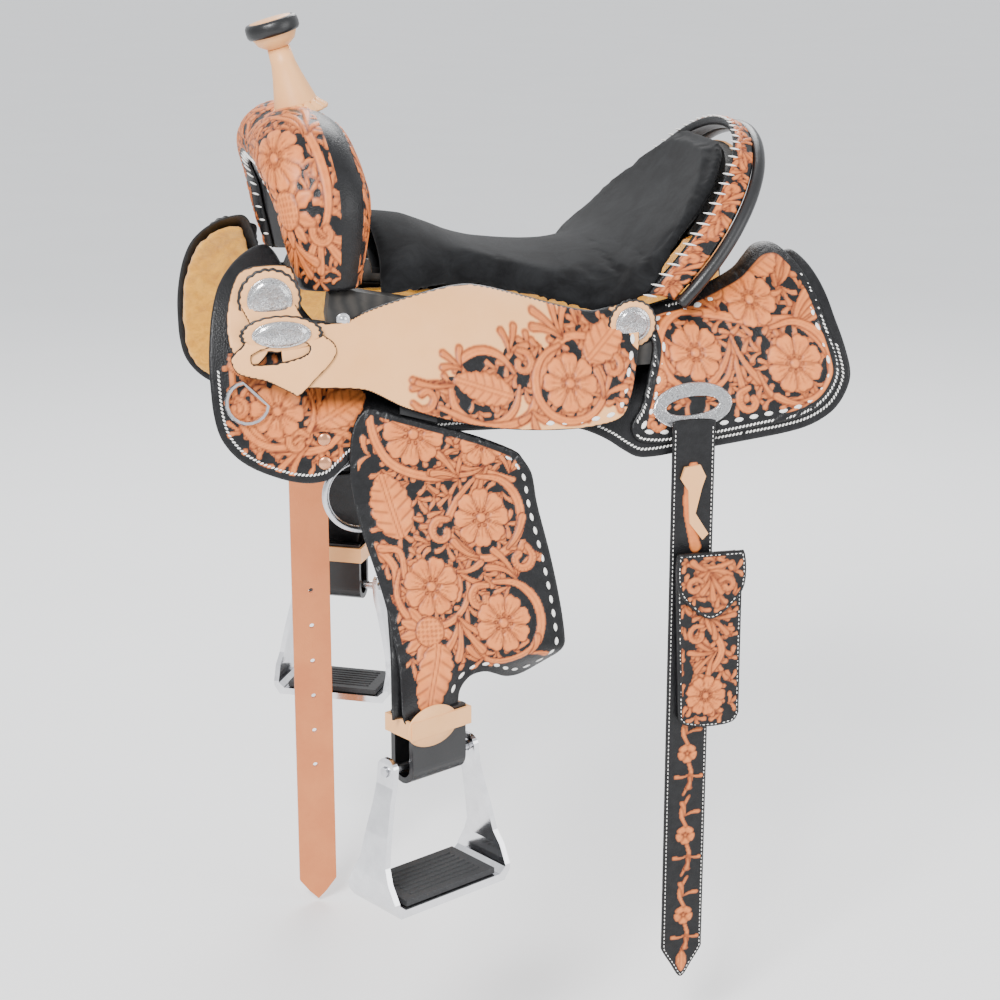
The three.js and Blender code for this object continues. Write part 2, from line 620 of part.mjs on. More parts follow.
function makeStirrups() {
  for (const [sideName, sign] of [['near', -1], ['off', 1]]) {
    const group = new THREE.Group();
    group.position.set(BOLT.x, sign * -BOLT.y, BOLT.z);
    group.rotation.z = -sign * STIRRUP_TURN;
    saddle.add(group);
    addMesh(`leather_loop_${sideName}`, leatherLoop(), 'black', group);
    addMesh(`hobble_strap_${sideName}`, hobbleStrap(), 'plain', group);
    addMesh(`stirrup_bolt_${sideName}`, stirrupBolt(), 'steel', group);
    addMesh(`stirrup_bow_${sideName}`, stirrupBow(), 'steel', group);
    addMesh(`stirrup_tread_${sideName}`, stirrupTread(), 'rubber', group);
  }
}

// The strap that goes round the bolt: a U seen along the bolt.
function leatherLoop() {
  const outer = LOOP_RADIUS;
  const inner = LOOP_RADIUS - LOOP_THICKNESS;
  const top = 54;
  const shape = new THREE.Shape();
  shape.moveTo(outer, top);
  shape.lineTo(outer, 0);
  shape.absarc(0, 0, outer, 0, -Math.PI, true);
  shape.lineTo(-outer, top);
  shape.lineTo(-inner, top);
  shape.lineTo(-inner, 0);
  shape.absarc(0, 0, inner, Math.PI, 0, false);
  shape.lineTo(inner, top);
  return alongBolt(shape, LOOP_WIDTH, 8);
}

// An outline seen along the bolt, pushed along it by a length and centred on the stirrup.
function alongBolt(shape, depth, curveSegments) {
  const geometry = new THREE.ExtrudeGeometry(shape, { depth, bevelEnabled: false, curveSegments });
  geometry.rotateX(Math.PI / 2);
  geometry.rotateZ(Math.PI / 2);
  geometry.translate(-depth / 2, 0, 0);
  return geometry;
}

function hobbleStrap() {
  const box = (clear, height) =>
    new THREE.BoxGeometry(LOOP_WIDTH + 2 * clear, 2 * LOOP_RADIUS + 2 * clear, height);
  const strap = cut(box(4, HOBBLE_WIDTH), box(1, 2 * HOBBLE_WIDTH));
  strap.translate(0, 0, 42);
  return strap;
}

function stirrupBolt() {
  const shaft = new THREE.CylinderGeometry(BOLT_RADIUS, BOLT_RADIUS, 112, 14);
  shaft.rotateZ(Math.PI / 2);
  return shaft;
}

function stirrupBow() {
  const ear = 46;
  const outerLine = [[ear + 7, 8], [ear + 9, -14], [66, -62], [74, -104], [73, -128], [66, -138]];
  const innerLine = [
    [60, -130], [67, -124], [68, -104], [60, -62], [ear + 3, -14], [ear + 1, 8], [ear + 2, 13], [ear + 6, 13],
  ];
  const left = outerLine.map(([x, z]) => [-x, z]).reverse();
  const leftInner = innerLine.map(([x, z]) => [-x, z]).reverse();
  const outline = straightShape([...outerLine, ...left, ...leftInner, ...innerLine]);
  const bars = sideways(outline, -40, 40);
  const sideProfile = new THREE.Shape();
  sideProfile.moveTo(13, 12);
  sideProfile.absarc(0, 0, 13.5, 0.4, Math.PI - 0.4, false);
  sideProfile.lineTo(-13, -30);
  sideProfile.lineTo(-20, -90);
  sideProfile.lineTo(-37, -122);
  sideProfile.lineTo(-37, -142);
  sideProfile.lineTo(37, -142);
  sideProfile.lineTo(37, -122);
  sideProfile.lineTo(20, -90);
  sideProfile.lineTo(13, -30);
  const taper = alongBolt(sideProfile, 200, 6);
  const hole = new THREE.CylinderGeometry(BOLT_RADIUS + GAP, BOLT_RADIUS + GAP, 160, 14);
  hole.rotateZ(Math.PI / 2);
  return cut(common(bars, taper), hole);
}

function stirrupTread() {
  const pad = new THREE.BoxGeometry(TREAD_WIDTH, TREAD_DEPTH, 6);
  pad.translate(0, 0, -126);
  return pad;
}

makeSkirts();
makeBars();
makeJockeys();
makeHousings();
makeFork();
makeHorn();
makeSeat();
makeCantle();
makeConchos();
makeRearPlates();
makeRings();
makeRiggingStraps();
makeOffBillet();
makeFlankBillet();
makeFenders();
makeStirrups();

export default saddle;
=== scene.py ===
import json
import math

import bmesh
import bpy
import numpy as np
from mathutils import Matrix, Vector

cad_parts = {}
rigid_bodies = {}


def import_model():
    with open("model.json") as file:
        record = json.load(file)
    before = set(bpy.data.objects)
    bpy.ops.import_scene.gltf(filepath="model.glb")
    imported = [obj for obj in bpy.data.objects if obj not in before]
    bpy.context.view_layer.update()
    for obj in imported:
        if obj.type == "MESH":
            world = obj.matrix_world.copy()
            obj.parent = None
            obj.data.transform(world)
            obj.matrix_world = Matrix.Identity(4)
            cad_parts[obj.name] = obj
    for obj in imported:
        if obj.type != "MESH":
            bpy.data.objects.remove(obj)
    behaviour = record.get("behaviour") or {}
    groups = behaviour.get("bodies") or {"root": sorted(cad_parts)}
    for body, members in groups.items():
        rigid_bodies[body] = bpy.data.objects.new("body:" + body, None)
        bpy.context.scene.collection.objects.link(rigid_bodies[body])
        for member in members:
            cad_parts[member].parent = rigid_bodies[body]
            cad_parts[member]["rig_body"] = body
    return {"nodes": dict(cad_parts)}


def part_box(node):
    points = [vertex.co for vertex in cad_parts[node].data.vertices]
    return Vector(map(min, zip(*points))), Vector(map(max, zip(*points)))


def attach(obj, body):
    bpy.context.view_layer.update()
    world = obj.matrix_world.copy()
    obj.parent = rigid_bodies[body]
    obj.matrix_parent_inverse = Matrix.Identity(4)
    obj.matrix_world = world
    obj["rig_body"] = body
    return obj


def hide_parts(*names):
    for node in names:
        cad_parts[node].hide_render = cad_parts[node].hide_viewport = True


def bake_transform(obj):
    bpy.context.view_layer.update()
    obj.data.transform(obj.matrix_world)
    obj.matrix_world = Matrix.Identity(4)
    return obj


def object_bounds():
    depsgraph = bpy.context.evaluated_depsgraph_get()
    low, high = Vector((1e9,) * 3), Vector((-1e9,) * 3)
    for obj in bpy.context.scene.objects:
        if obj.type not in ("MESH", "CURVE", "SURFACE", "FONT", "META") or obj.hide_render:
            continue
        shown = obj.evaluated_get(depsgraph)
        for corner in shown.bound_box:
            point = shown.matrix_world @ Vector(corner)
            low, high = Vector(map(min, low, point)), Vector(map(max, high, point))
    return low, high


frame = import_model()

CAD_BOX = [list(corner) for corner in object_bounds()]
MM = 0.001
NODES = frame["nodes"]
SIDES = (("near", -1), ("off", 1))

# ---------- driving dimensions, in millimetres ----------
LEATHER = 3.6
GAP = 0.4
FLEECE = 12
JOCKEY_LIFT = 14
KEEPER_LIFT = 18
PLATE_LIFT = 4.4
PLATE_THICKNESS = 3
RING_CENTRE = (-184, -188, -110)
RING_RADIUS = 35
RING_WIRE = 3.4
RIVETS = ((-220, -50), (-220, -73))
SCREW = (-196, 62)
SWELL_WRAP = 192               # from the front edge round to the rear edge
ROLL_WIDTH = 24.0
PAD_THICKNESS = 9
BOLT_DIRECTION = (0.883, 0.469, 0)
SKIRT_DEPTH = 250
SIDE_ROUNDNESS = 2.4
BAR_DEPTH = 22
FLARE_START = -112
FLARE = 0.38
HINGE_LEFT = (-190, -14)
HINGE_RIGHT = (-20, -60)
FENDER_TURN = math.tan(math.radians(28))
CARVED_STEP = 1.15             # grid of carved leather
PLAIN_STEP = 2.2               # grid of plain leather
CARVING_DEPTH = 1.5
SEAT_TURNDOWN = 20             # the suede's edge goes down behind the jockeys
OUTWARD = (0, -1, 0)           # on the near side
GOLDEN_ANGLE = 137.5           # turns each small leaf a new way


def smoothstep(value, start, end):
    share = np.clip((np.asarray(value, float) - start) / (end - start), 0, 1)
    return share * share * (3 - 2 * share)


def spline(points, detail, closed=False, power=0.5):
    """Catmull-Rom curve through points; power 0.5 keeps it from overshooting uneven points."""
    points = np.asarray(points, float)
    if closed:
        padded = np.vstack([points[-1:], points, points[:2]])
    else:
        padded = np.vstack([2 * points[0] - points[1], points, 2 * points[-1] - points[-2]])
    samples = []
    for i in range(1, len(padded) - 2):
        p = padded[i - 1:i + 3]
        gaps = [max(np.linalg.norm(p[k + 1] - p[k]) ** power, 1e-6) for k in range(3)]
        knots = np.concatenate([[0], np.cumsum(gaps)])
        for t in np.linspace(knots[1], knots[2], detail, endpoint=False):
            a = [p[k] + (p[k + 1] - p[k]) * (t - knots[k]) / gaps[k] for k in range(3)]
            b = [a[k] + (a[k + 1] - a[k]) * (t - knots[k]) / (knots[k + 2] - knots[k]) for k in range(2)]
            samples.append(b[0] + (b[1] - b[0]) * (t - knots[1]) / gaps[1])
    if not closed:
        samples.append(points[-1])
    return np.array(samples)


def profile(pairs):
    """A smooth function through a few [input, value] pairs."""
    curve = spline(pairs, 8, power=0.0)
    return lambda value: np.interp(value, curve[:, 0], curve[:, 1])


# ---------- the saddle's surfaces ----------
full_width = profile([[-330, 192], [-100, 206], [100, 214], [330, 222]])
ridge = profile([[-330, 152], [-230, 146], [-150, 118], [0, 96], [150, 102], [250, 122], [330, 132]])


def side(x, z):
    """Distance of the skirts' outer face from the middle plane."""
    drop = np.clip((ridge(x) - z) / SKIRT_DEPTH, 0, 1)
    return full_width(x) * (1 - (1 - drop) ** SIDE_ROUNDNESS) ** (1 / SIDE_ROUNDNESS)


def under_bars(x, z):
    inside = smoothstep(z, -34, -2) * smoothstep(x, -254, -212) * (1 - smoothstep(x, 252, 290))
    return side(x, z) - (BAR_DEPTH + 2 * GAP) * inside


def fender_side(x, z):
    return side(-100, np.maximum(z, FLARE_START)) + 2 + np.maximum(0, FLARE_START - z) * FLARE


def hinge_line(x):
    slope = (HINGE_RIGHT[1] - HINGE_LEFT[1]) / (HINGE_RIGHT[0] - HINGE_LEFT[0])
    return HINGE_LEFT[1] + slope * (x - HINGE_LEFT[0])


def beside(surface):
    """Turns a distance from the middle plane into a near-side placing of panel points."""
    def place(x, z, offset):
        return np.stack([x, -(surface(x, z) + offset), z], -1)
    return place


def beside_fender(x, z, offset):
    """The fender, whose tail turns towards the stirrup and comes forward over the strap."""
    turn = smoothstep(z, -250, -300)
    out = fender_side(x, z) + offset + turn * (15 - (x + 137) * FENDER_TURN)
    return np.stack([x - 8 * turn, -out, z], -1)


# ---------- meshes ----------
def mesh_piece(name, vertices, faces, body, material, slot, sign=-1, smooth=True):
    """A mesh from near-side millimetres; sign 1 mirrors it to the off side."""
    vertices = np.array(vertices, float) * MM
    if sign > 0:
        vertices[:, 1] *= -1
        faces = [tuple(reversed(face)) for face in faces]
    mesh = bpy.data.meshes.new(name)
    mesh.from_pydata(vertices.tolist(), [], [tuple(map(int, face)) for face in faces])
    mesh.validate()
    mesh.update()
    piece = bpy.data.objects.new(name, mesh)
    bpy.context.scene.collection.objects.link(piece)
    mesh.polygons.foreach_set("use_smooth", [smooth] * len(mesh.polygons))
    mesh.materials.append(material)
    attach(piece, body)
    return piece


def colour(piece, tan, shade, warmth):
    """Stores how tan, how dark in the cuts (burnished leather and painted shade) and how warm each vertex is.
    """
    layer = piece.data.color_attributes.new("carve", "FLOAT_COLOR", "POINT")
    values = np.ones((len(piece.data.vertices), 4), np.float32)
    values[:, 0], values[:, 1], values[:, 2] = tan, shade, warmth
    layer.data.foreach_set("color", values.ravel())


def grid_faces(rows, columns, wrap_rows=False, wrap_columns=False):
    faces = []
    for i in range(rows if wrap_rows else rows - 1):
        for j in range(columns if wrap_columns else columns - 1):
            k, l = (i + 1) % rows, (j + 1) % columns
            faces.append((i * columns + j, k * columns + j, k * columns + l, i * columns + l))
    return faces


def sweep(path, section, across, closed=False):
    """Vertices and faces of a section pushed along a path.

    section holds (sideways, outward) pairs and across the sideways direction at each path point."""
    path = np.asarray(path, float)
    tangent = np.gradient(path, axis=0)
    if closed:
        tangent = np.roll(path, -1, 0) - np.roll(path, 1, 0)
    tangent /= np.linalg.norm(tangent, axis=1)[:, None]
    across = np.broadcast_to(np.asarray(across, float), path.shape)
    outward = np.cross(across, tangent)
    outward /= np.linalg.norm(outward, axis=1)[:, None]
    sideways = np.cross(tangent, outward)
    section = np.asarray(section, float)
    rings = (path[:, None] + sideways[:, None] * section[None, :, :1]
             + outward[:, None] * section[None, :, 1:])
    count = len(section)
    faces = grid_faces(len(path), count, wrap_rows=closed, wrap_columns=True)
    if not closed:
        faces.append(tuple(range(count)))
        last = (len(path) - 1) * count
        faces.append(tuple(last + i for i in reversed(range(count))))
    return rings.reshape(-1, 3), faces


def round_section(radius, sides=14):
    angles = np.linspace(0, 2 * math.pi, sides, endpoint=False)
    return np.stack([radius * np.cos(angles), radius * np.sin(angles)], -1)


def outward_faces(piece):
    mesh = bmesh.new()
    mesh.from_mesh(piece.data)
    bmesh.ops.recalc_face_normals(mesh, faces=mesh.faces)
    mesh.to_mesh(piece.data)
    mesh.free()


# ---------- outlines taken from the frame ----------
def outlines(node, detail=5):
    """Smooth loops of a side panel's outer face, in XZ millimetres: the outline, then its holes."""
    mesh = bmesh.new()
    mesh.from_mesh(NODES[node].data)
    bmesh.ops.remove_doubles(mesh, verts=mesh.verts, dist=2e-5)
    links = {}
    for edge in mesh.edges:
        if len(edge.link_faces) != 2:
            continue
        rim = [abs(face.normal.y) < 0.02 for face in edge.link_faces]
        if rim[0] == rim[1]:
            continue
        face = edge.link_faces[1 if rim[0] else 0]
        if face.normal.y * edge.verts[0].co.y < 0:
            continue
        a, b = edge.verts
        links.setdefault(a.index, []).append(b.index)
        links.setdefault(b.index, []).append(a.index)
    mesh.verts.ensure_lookup_table()
    loops = []
    while links:
        start = min(links)
        chain = [start]
        while True:
            onward = [v for v in links.get(chain[-1], []) if v not in chain[-2:]]
            onward = [v for v in onward if v == start or v in links]
            if not onward or onward[0] == start:
                break
            chain.append(onward[0])
            if len(chain) > 2:
                links.pop(chain[-2], None)
        for v in chain:
            links.pop(v, None)
        points = np.array([[mesh.verts[v].co.x, mesh.verts[v].co.z] for v in chain]) / MM
        if len(points) > 6:
            loops.append(spline(hold_straights(corners_of(points)), detail, closed=True))
    mesh.free()
    return sorted(loops, key=lambda loop: -np.ptp(loop[:, 0]))


def corners_of(points):
    """Leaves out the points that lie on a straight line between their neighbours."""
    before, after = points - np.roll(points, 1, 0), np.roll(points, -1, 0) - points
    turn = before[:, 0] * after[:, 1] - before[:, 1] * after[:, 0]
    length = np.linalg.norm(before, axis=1) * np.linalg.norm(after, axis=1)
    return points[np.abs(turn) > 0.012 * length]


def hold_straights(points, longest=60.0, margin=3.0):
    """Adds points near both ends of each long side, so that a smooth curve keeps it straight."""
    held = []
    for a, b in zip(points, np.roll(points, -1, 0)):
        held.append(a)
        length = np.hypot(*(b - a))
        if length > longest:
            ahead = (b - a) / length
            held += [a + ahead * margin, (a + b) / 2, b - ahead * margin]
    return np.array(held)


def measure(points, loops):
    """Depth inside the loops (negative outside), nearest loop point, and distance along the loop."""
    best = np.full(len(points), 1e9)
    nearest = np.zeros_like(points)
    inside = np.zeros(len(points), bool)
    for loop in loops:
        for a, b in zip(loop, np.roll(loop, -1, 0)):
            step = b - a
            share = np.clip((points - a) @ step / max(step @ step, 1e-9), 0, 1)
            foot = a + share[:, None] * step
            distance = np.hypot(*(points - foot).T)
            closer = distance < best
            best[closer] = distance[closer]
            nearest[closer] = foot[closer]
            if a[1] != b[1]:
                crossing = ((a[1] > points[:, 1]) != (b[1] > points[:, 1]))
                inside ^= crossing & (points[:, 0] < step[0] * (points[:, 1] - a[1]) / step[1] + a[0])
    return np.where(inside, best, -best), nearest


# ---------- leather carving ----------
class Carving:
    """A drawing of tooled leather: height in mm, and how tan, how dark in the cuts (burnish and painted
    shade) and how warm each point is.
    """

    def __init__(self, low, high, step=CARVED_STEP, tan=0.0, warmth=1.0):
        self.step = step
        self.low = np.array(low, float)
        counts = [int((high[k] - low[k]) / step) + 2 for k in range(2)]
        axes = [low[k] + step * np.arange(counts[k]) for k in range(2)]
        self.u, self.v = np.meshgrid(*axes, indexing="ij")
        self.height = np.zeros(counts)
        self.tan = np.full(counts, float(tan))
        self.shade = np.zeros(counts)
        self.warmth = np.full(counts, float(warmth))

    def window(self, centre, reach):
        low = np.maximum(((np.array(centre) - reach - self.low) / self.step).astype(int), 0)
        high = np.maximum(((np.array(centre) + reach - self.low) / self.step).astype(int) + 2, 0)
        return slice(low[0], high[0]), slice(low[1], high[1])

    def stamp(self, area, depth, height, shade=0.0):
        """Raises what is inside (depth > 0), and cuts a line round it that is painted dark: painted shade in
        the cut, partly the burnished bevel.
        """
        tan, burnish_and_shade, high = self.tan[area], self.shade[area], self.height[area]
        bevel = np.clip(depth / 1.3, 0, 1)
        mask = depth > 0
        around = (depth <= 0) & (depth > -1.5)
        line = np.clip(1 - np.abs(depth) / 1.3, 0, 1)
        high[around] *= 0.45
        high[mask] = (0.25 + 0.75 * bevel[mask]) * np.broadcast_to(height, depth.shape)[mask]
        tan[mask] = 1
        burnish_and_shade[mask] = np.maximum(np.broadcast_to(shade, depth.shape)[mask], 0.85 * line[mask])
        burnish_and_shade[around] = np.maximum(burnish_and_shade[around], line[around])
        self.warmth[area][mask | around] = 1

    def paint(self, centre, radius, tan=0.0):
        """A disc of ground, black or tan."""
        area = self.window(centre, radius + 1)
        inside = np.hypot(self.u[area] - centre[0], self.v[area] - centre[1]) < radius
        self.tan[area][inside] = tan
        self.height[area][inside] = 0
        self.warmth[area][inside] = 1

    def stroke(self, points, widths, height=1.0, lines=2, ticks=0.0):
        """A stem along a smooth path; lines are grooves along it, ticks short cuts across its rim."""
        path = spline(points, 7)
        lengths = np.hypot(*np.diff(path, axis=0).T)
        along = np.concatenate([[0], np.cumsum(lengths)])
        widths = np.interp(along / along[-1], np.linspace(0, 1, len(widths)), widths)
        centre = (path.min(0) + path.max(0)) / 2
        area = self.window(centre, np.ptp(path, 0) / 2 + max(widths))
        u, v = self.u[area], self.v[area]
        best = np.full(u.shape, 1e9)
        lateral, travel, half = (np.zeros(u.shape) for _ in range(3))
        for k, length in enumerate(lengths):
            (ax, ay), (bx, by) = path[k], path[k + 1]
            dx, dy = (bx - ax) / length, (by - ay) / length
            share = np.clip((u - ax) * dx + (v - ay) * dy, 0, length)
            distance = np.hypot(u - ax - share * dx, v - ay - share * dy)
            closer = distance < best
            best = np.where(closer, distance, best)
            lateral = np.where(closer, (v - ay) * dx - (u - ax) * dy, lateral)
            travel = np.where(closer, along[k] + share, travel)
            width = widths[k] + (widths[k + 1] - widths[k]) * share / length
            half = np.where(closer, width / 2, half)
        depth = half - best
        ratio = np.clip(lateral / np.maximum(half, 0.1), -1, 1)
        groove = np.clip(np.cos(ratio * math.pi * lines), 0, 1) ** 3 if lines else 0 * ratio
        level = height * (1 - 0.3 * ratio ** 2 - 0.35 * groove)
        # the grooves and tick cuts are painted darker: painted shade in the cuts, partly the burnished
        # leather
        burnish_and_shade = 0.32 * groove
        if ticks:
            cut = (np.sin(travel * 2 * math.pi / 2.6) > 0.2) & (ratio * ticks > 0.35)
            level = level - 0.3 * cut
            burnish_and_shade = np.maximum(burnish_and_shade, 0.5 * cut)
        self.stamp(area, depth, level, burnish_and_shade)

    def scroll(self, centre, radius, start, turn, width=7.0, tail=3.0, ticks=1):
        """A stem that curls inward round a centre, from an angle through a turn, in degrees."""
        steps = max(5, int(abs(turn) / 40))
        angles = np.radians(start + turn * np.linspace(0, 1, steps))
        reach = radius * np.linspace(1, 0.36, steps)
        points = [(centre[0] + r * math.cos(a), centre[1] + r * math.sin(a)) for r, a in zip(reach, angles)]
        self.stroke(points, [width * 0.7, width, width, tail + 2, tail + 3], 1.0, 1, ticks)

    def ring(self, centre, radius, start, turn, width=6.0):
        """A long stem that runs round a flower."""
        steps = max(6, int(abs(turn) / 30))
        angles = np.radians(start + turn * np.linspace(0, 1, steps))
        points = [(centre[0] + radius * math.cos(a), centre[1] + radius * math.sin(a)) for a in angles]
        self.stroke(points, [width * 0.5, width, width, width * 0.8, width * 0.35], 1.0, 2)

    def frond(self, root, angle, length, count=4, spread=26, curl=30, width=6.5):
        """Leaf fingers that fan out from a root, each with a round club end."""
        for k in range(count):
            share = k / max(1, count - 1) - 0.5
            lean = math.radians(angle + spread * 2 * share)
            bend = math.radians(curl) * (1 if share >= 0 else -1) * (0.4 + abs(share))
            reach = length * (1 - 0.35 * abs(share))
            points = [root]
            for part in (0.35, 0.7, 1.0):
                turn = lean + bend * part
                points.append((root[0] + reach * part * math.cos(turn),
                               root[1] + reach * part * math.sin(turn)))
            self.stroke(points, [width * 0.35, width * 0.6, width * 0.8, width], 1.0, 1)

    def sprigs(self, low, high, pitch=17.0, length=15.0, width=5.5):
        """Small leaf fingers all over the ground, which the larger figures then cover."""
        number = 0
        for row, v in enumerate(np.arange(low[1], high[1], pitch * 0.86)):
            for u in np.arange(low[0] + (row % 2) * pitch / 2, high[0], pitch):
                number += 1
                self.frond((u, v), number * GOLDEN_ANGLE, length, 3, 38, 30, width)

    def flower(self, centre, radius, petals=8, turn=0.0):
        """An open rose: notched petals with fine lines, and a beaded eye."""
        area = self.window(centre, radius + 3)
        u, v = self.u[area] - centre[0], self.v[area] - centre[1]
        reach = np.hypot(u, v)
        angle = np.arctan2(v, u) + math.radians(turn)
        phase = np.abs(np.cos(angle * petals / 2))
        notch = np.abs(np.cos(angle * petals)) ** 3
        edge = radius * (0.80 + 0.20 * phase ** 0.5 - 0.05 * notch)
        share = np.clip(reach / radius, 0, 1)
        between = np.clip(1 - phase * 3.2, 0, 1) * smoothstep(share, 0.15, 0.4)
        veins = (np.cos(angle * petals * 3) > 0.55) * smoothstep(share, 0.22, 0.34)
        veins = veins * (1 - smoothstep(share, 0.55, 0.8))
        cup = 0.45 * np.sin(math.pi * np.clip(share * 1.05, 0, 1))
        level = 1.25 * (0.55 + cup - 0.65 * between) - 0.3 * veins
        # between the petals, in the veins and towards the eye the leather is painted darker: painted shade in
        # the hollows, partly burnished leather
        burnish_and_shade = np.maximum(0.8 * between, 0.45 * veins) + 0.25 * smoothstep(share, 0.45, 0.12)
        self.stamp(area, edge - reach, level, np.clip(burnish_and_shade, 0, 1))
        self.bead(centre, radius * 0.17, 1.5)
        for k in range(petals):
            around = 2 * math.pi * (k + 0.5) / petals - math.radians(turn)
            spot = (centre[0] + radius * 0.27 * math.cos(around),
                    centre[1] + radius * 0.27 * math.sin(around))
            self.bead(spot, radius * 0.05, 1.3)

    def bead(self, centre, radius, height):
        area = self.window(centre, radius + 2)
        reach = np.hypot(self.u[area] - centre[0], self.v[area] - centre[1])
        dome = height * np.sqrt(np.clip(1 - (reach / max(radius, 0.1)) ** 2, 0.2, 1))
        self.stamp(area, radius - reach, dome)

    def leaf(self, root, tip, width, lobes=6):
        """A broad serrated leaf with a deep midrib and curved veins."""
        root, tip = np.array(root, float), np.array(tip, float)
        length = np.hypot(*(tip - root))
        along = (tip - root) / length
        area = self.window((root + tip) / 2, length / 2 + width)
        du, dv = self.u[area] - root[0], self.v[area] - root[1]
        travel = (du * along[0] + dv * along[1]) / length
        lateral = dv * along[0] - du * along[1]
        body = np.clip(np.sin(math.pi * np.clip(travel, 0, 1) ** 0.85), 0, 1) ** 0.55
        wave = travel * lobes - 0.25
        edge = width / 2 * body * (0.84 + 0.16 * np.abs(np.sin(math.pi * wave)) ** 0.6)
        inside = np.minimum(edge - np.abs(lateral), length * np.minimum(travel, 1 - travel) + 0.6)
        share = np.abs(lateral) / max(width / 2, 1)
        vein = np.clip(np.cos(2 * math.pi * (wave - share * 0.9)), 0, 1) ** 3 * smoothstep(share, 0.12, 0.3)
        rib = np.clip(1 - np.abs(lateral) / 1.5, 0, 1)
        level = 1.15 * (0.7 + 0.35 * np.sin(math.pi * np.clip(share, 0, 1)) - 0.35 * vein) + 0.25 * rib
        groove = np.clip(1 - np.abs(np.abs(lateral) - 2.1) / 0.9, 0, 1)
        # the veins and the groove beside the midrib are painted darker: painted shade in the cuts, partly
        # burnished leather
        self.stamp(area, inside, level - 0.45 * groove, np.maximum(0.5 * vein, 0.7 * groove))

    def seeds(self, centre, radius, petals=9, turn=0.0, spread=360.0):
        """A sunflower: a cross-hatched eye with short petals over part of the circle."""
        for k in range(petals):
            around = math.radians(turn + spread * (k / petals))
            away = np.array([math.cos(around), math.sin(around)])
            root, tip = np.array(centre) + away * radius * 0.45, np.array(centre) + away * radius
            self.stroke([root, (root + tip) / 2, tip], [radius * 0.2, radius * 0.42, radius * 0.2], 1.0, 1)
        area = self.window(centre, radius * 0.6)
        u, v = self.u[area] - centre[0], self.v[area] - centre[1]
        mesh = np.cos((u + v) * 2.0) * np.cos((u - v) * 2.0)
        # the low spots of the hatched eye are painted darker as shade
        self.stamp(area, radius * 0.52 - np.hypot(u, v), 1.2 + 0.3 * mesh, 0.4 * (mesh < -0.1))

    def sample(self, points):
        """Height, tan, shade and warmth at grid-aligned points, as rows."""
        place = (points - self.low) / self.step
        place = np.clip(place, 0, np.array(self.height.shape) - 1.001)
        i, j = place.astype(int).T
        f, g = (place - place.astype(int)).T
        rows = []
        for field in (self.height, self.tan, self.shade, self.warmth):
            rows.append(field[i, j] * (1 - f) * (1 - g) + field[i + 1, j] * f * (1 - g)
                        + field[i, j + 1] * (1 - f) * g + field[i + 1, j + 1] * f * g)
        return rows


# ---------- leather sheets ----------
def leather_sheet(name, loops, place, inner, outer, body, material, slot, sign,
                  carving=None, step=PLAIN_STEP, tan=1.0, warmth=0.0, rounding=1.4, dye=1.3,
                  relief=1.0):
    """A cut piece of leather: a dense grid trimmed to its outline, with relief, rounded edges and a back."""
    outline = loops[0]
    low = np.floor(outline.min(0) / step - 1) * step
    counts = np.ceil(np.ptp(outline, 0) / step + 3).astype(int)
    grid = np.stack(np.meshgrid(*(low[k] + step * np.arange(counts[k]) for k in range(2)), indexing="ij"), -1)
    flat = grid.reshape(-1, 2)
    depth, nearest = measure(flat, loops)
    snapped = depth < 0.35 * step
    points = np.where(snapped[:, None], nearest, flat)
    inside = (depth > 0.35 * step).reshape(counts)
    near_enough = (depth > -1.6 * step).reshape(counts)
    some = inside[:-1, :-1] | inside[1:, :-1] | inside[:-1, 1:] | inside[1:, 1:]
    fits = near_enough[:-1, :-1] & near_enough[1:, :-1] & near_enough[:-1, 1:] & near_enough[1:, 1:]
    ci, cj = np.nonzero(some & fits)
    quads = np.stack([ci * counts[1] + cj, (ci + 1) * counts[1] + cj,
                      (ci + 1) * counts[1] + cj + 1, ci * counts[1] + cj + 1], -1)
    used, quads = np.unique(quads, return_inverse=True)
    quads = quads.reshape(-1, 4)
    points, depth = points[used], np.maximum(np.where(snapped[used], 0, depth[used]), 0)
    count = len(points)
    if carving:
        height, tans, shades, warmths = carving.sample(points)
    else:
        height, shades = np.zeros(count), np.zeros(count)
        tans, warmths = np.full(count, float(tan)), np.full(count, float(warmth))
    curve = rounding - np.sqrt(np.maximum(rounding ** 2 - np.maximum(rounding - depth, 0) ** 2, 0))
    fade = smoothstep(depth, 0.3, 2.5)
    x, z = points.T
    top = place(x, z, outer - curve + CARVING_DEPTH * relief * height * fade)
    back = place(x, z, inner + 0.6 * curve)
    edges = np.concatenate([quads[:, [k, (k + 1) % 4]] for k in range(4)])
    keys = {tuple(edge) for edge in edges.tolist()}
    border = [(a, b) for a, b in keys if (b, a) not in keys]
    faces = quads.tolist() + [[count + v for v in reversed(face)] for face in quads.tolist()]
    faces += [[b, a, count + a, count + b] for a, b in border]
    faces = [list(dict.fromkeys(face)) for face in faces]
    piece = mesh_piece(name, np.vstack([top, back]), faces, body, material, slot, sign)
    dyed = smoothstep(depth, dye * 0.6, dye)
    blank = np.zeros(count)
    colour(piece, np.concatenate([tans * dyed, blank]), np.concatenate([shades, blank]),
           np.concatenate([warmths, blank]))
    return piece


def inset(loop, distance):
    """The loop moved inward, with even spacing."""
    ahead = np.roll(loop, -1, 0) - np.roll(loop, 1, 0)
    ahead /= np.linalg.norm(ahead, axis=1)[:, None]
    inward = np.stack([-ahead[:, 1], ahead[:, 0]], -1)
    area = np.sum(loop[:, 0] * np.roll(loop[:, 1], -1) - np.roll(loop[:, 0], -1) * loop[:, 1])
    moved = loop + inward * math.copysign(distance, area)
    depth, _ = measure(moved, [loop])
    return moved[depth > 0.8 * distance]


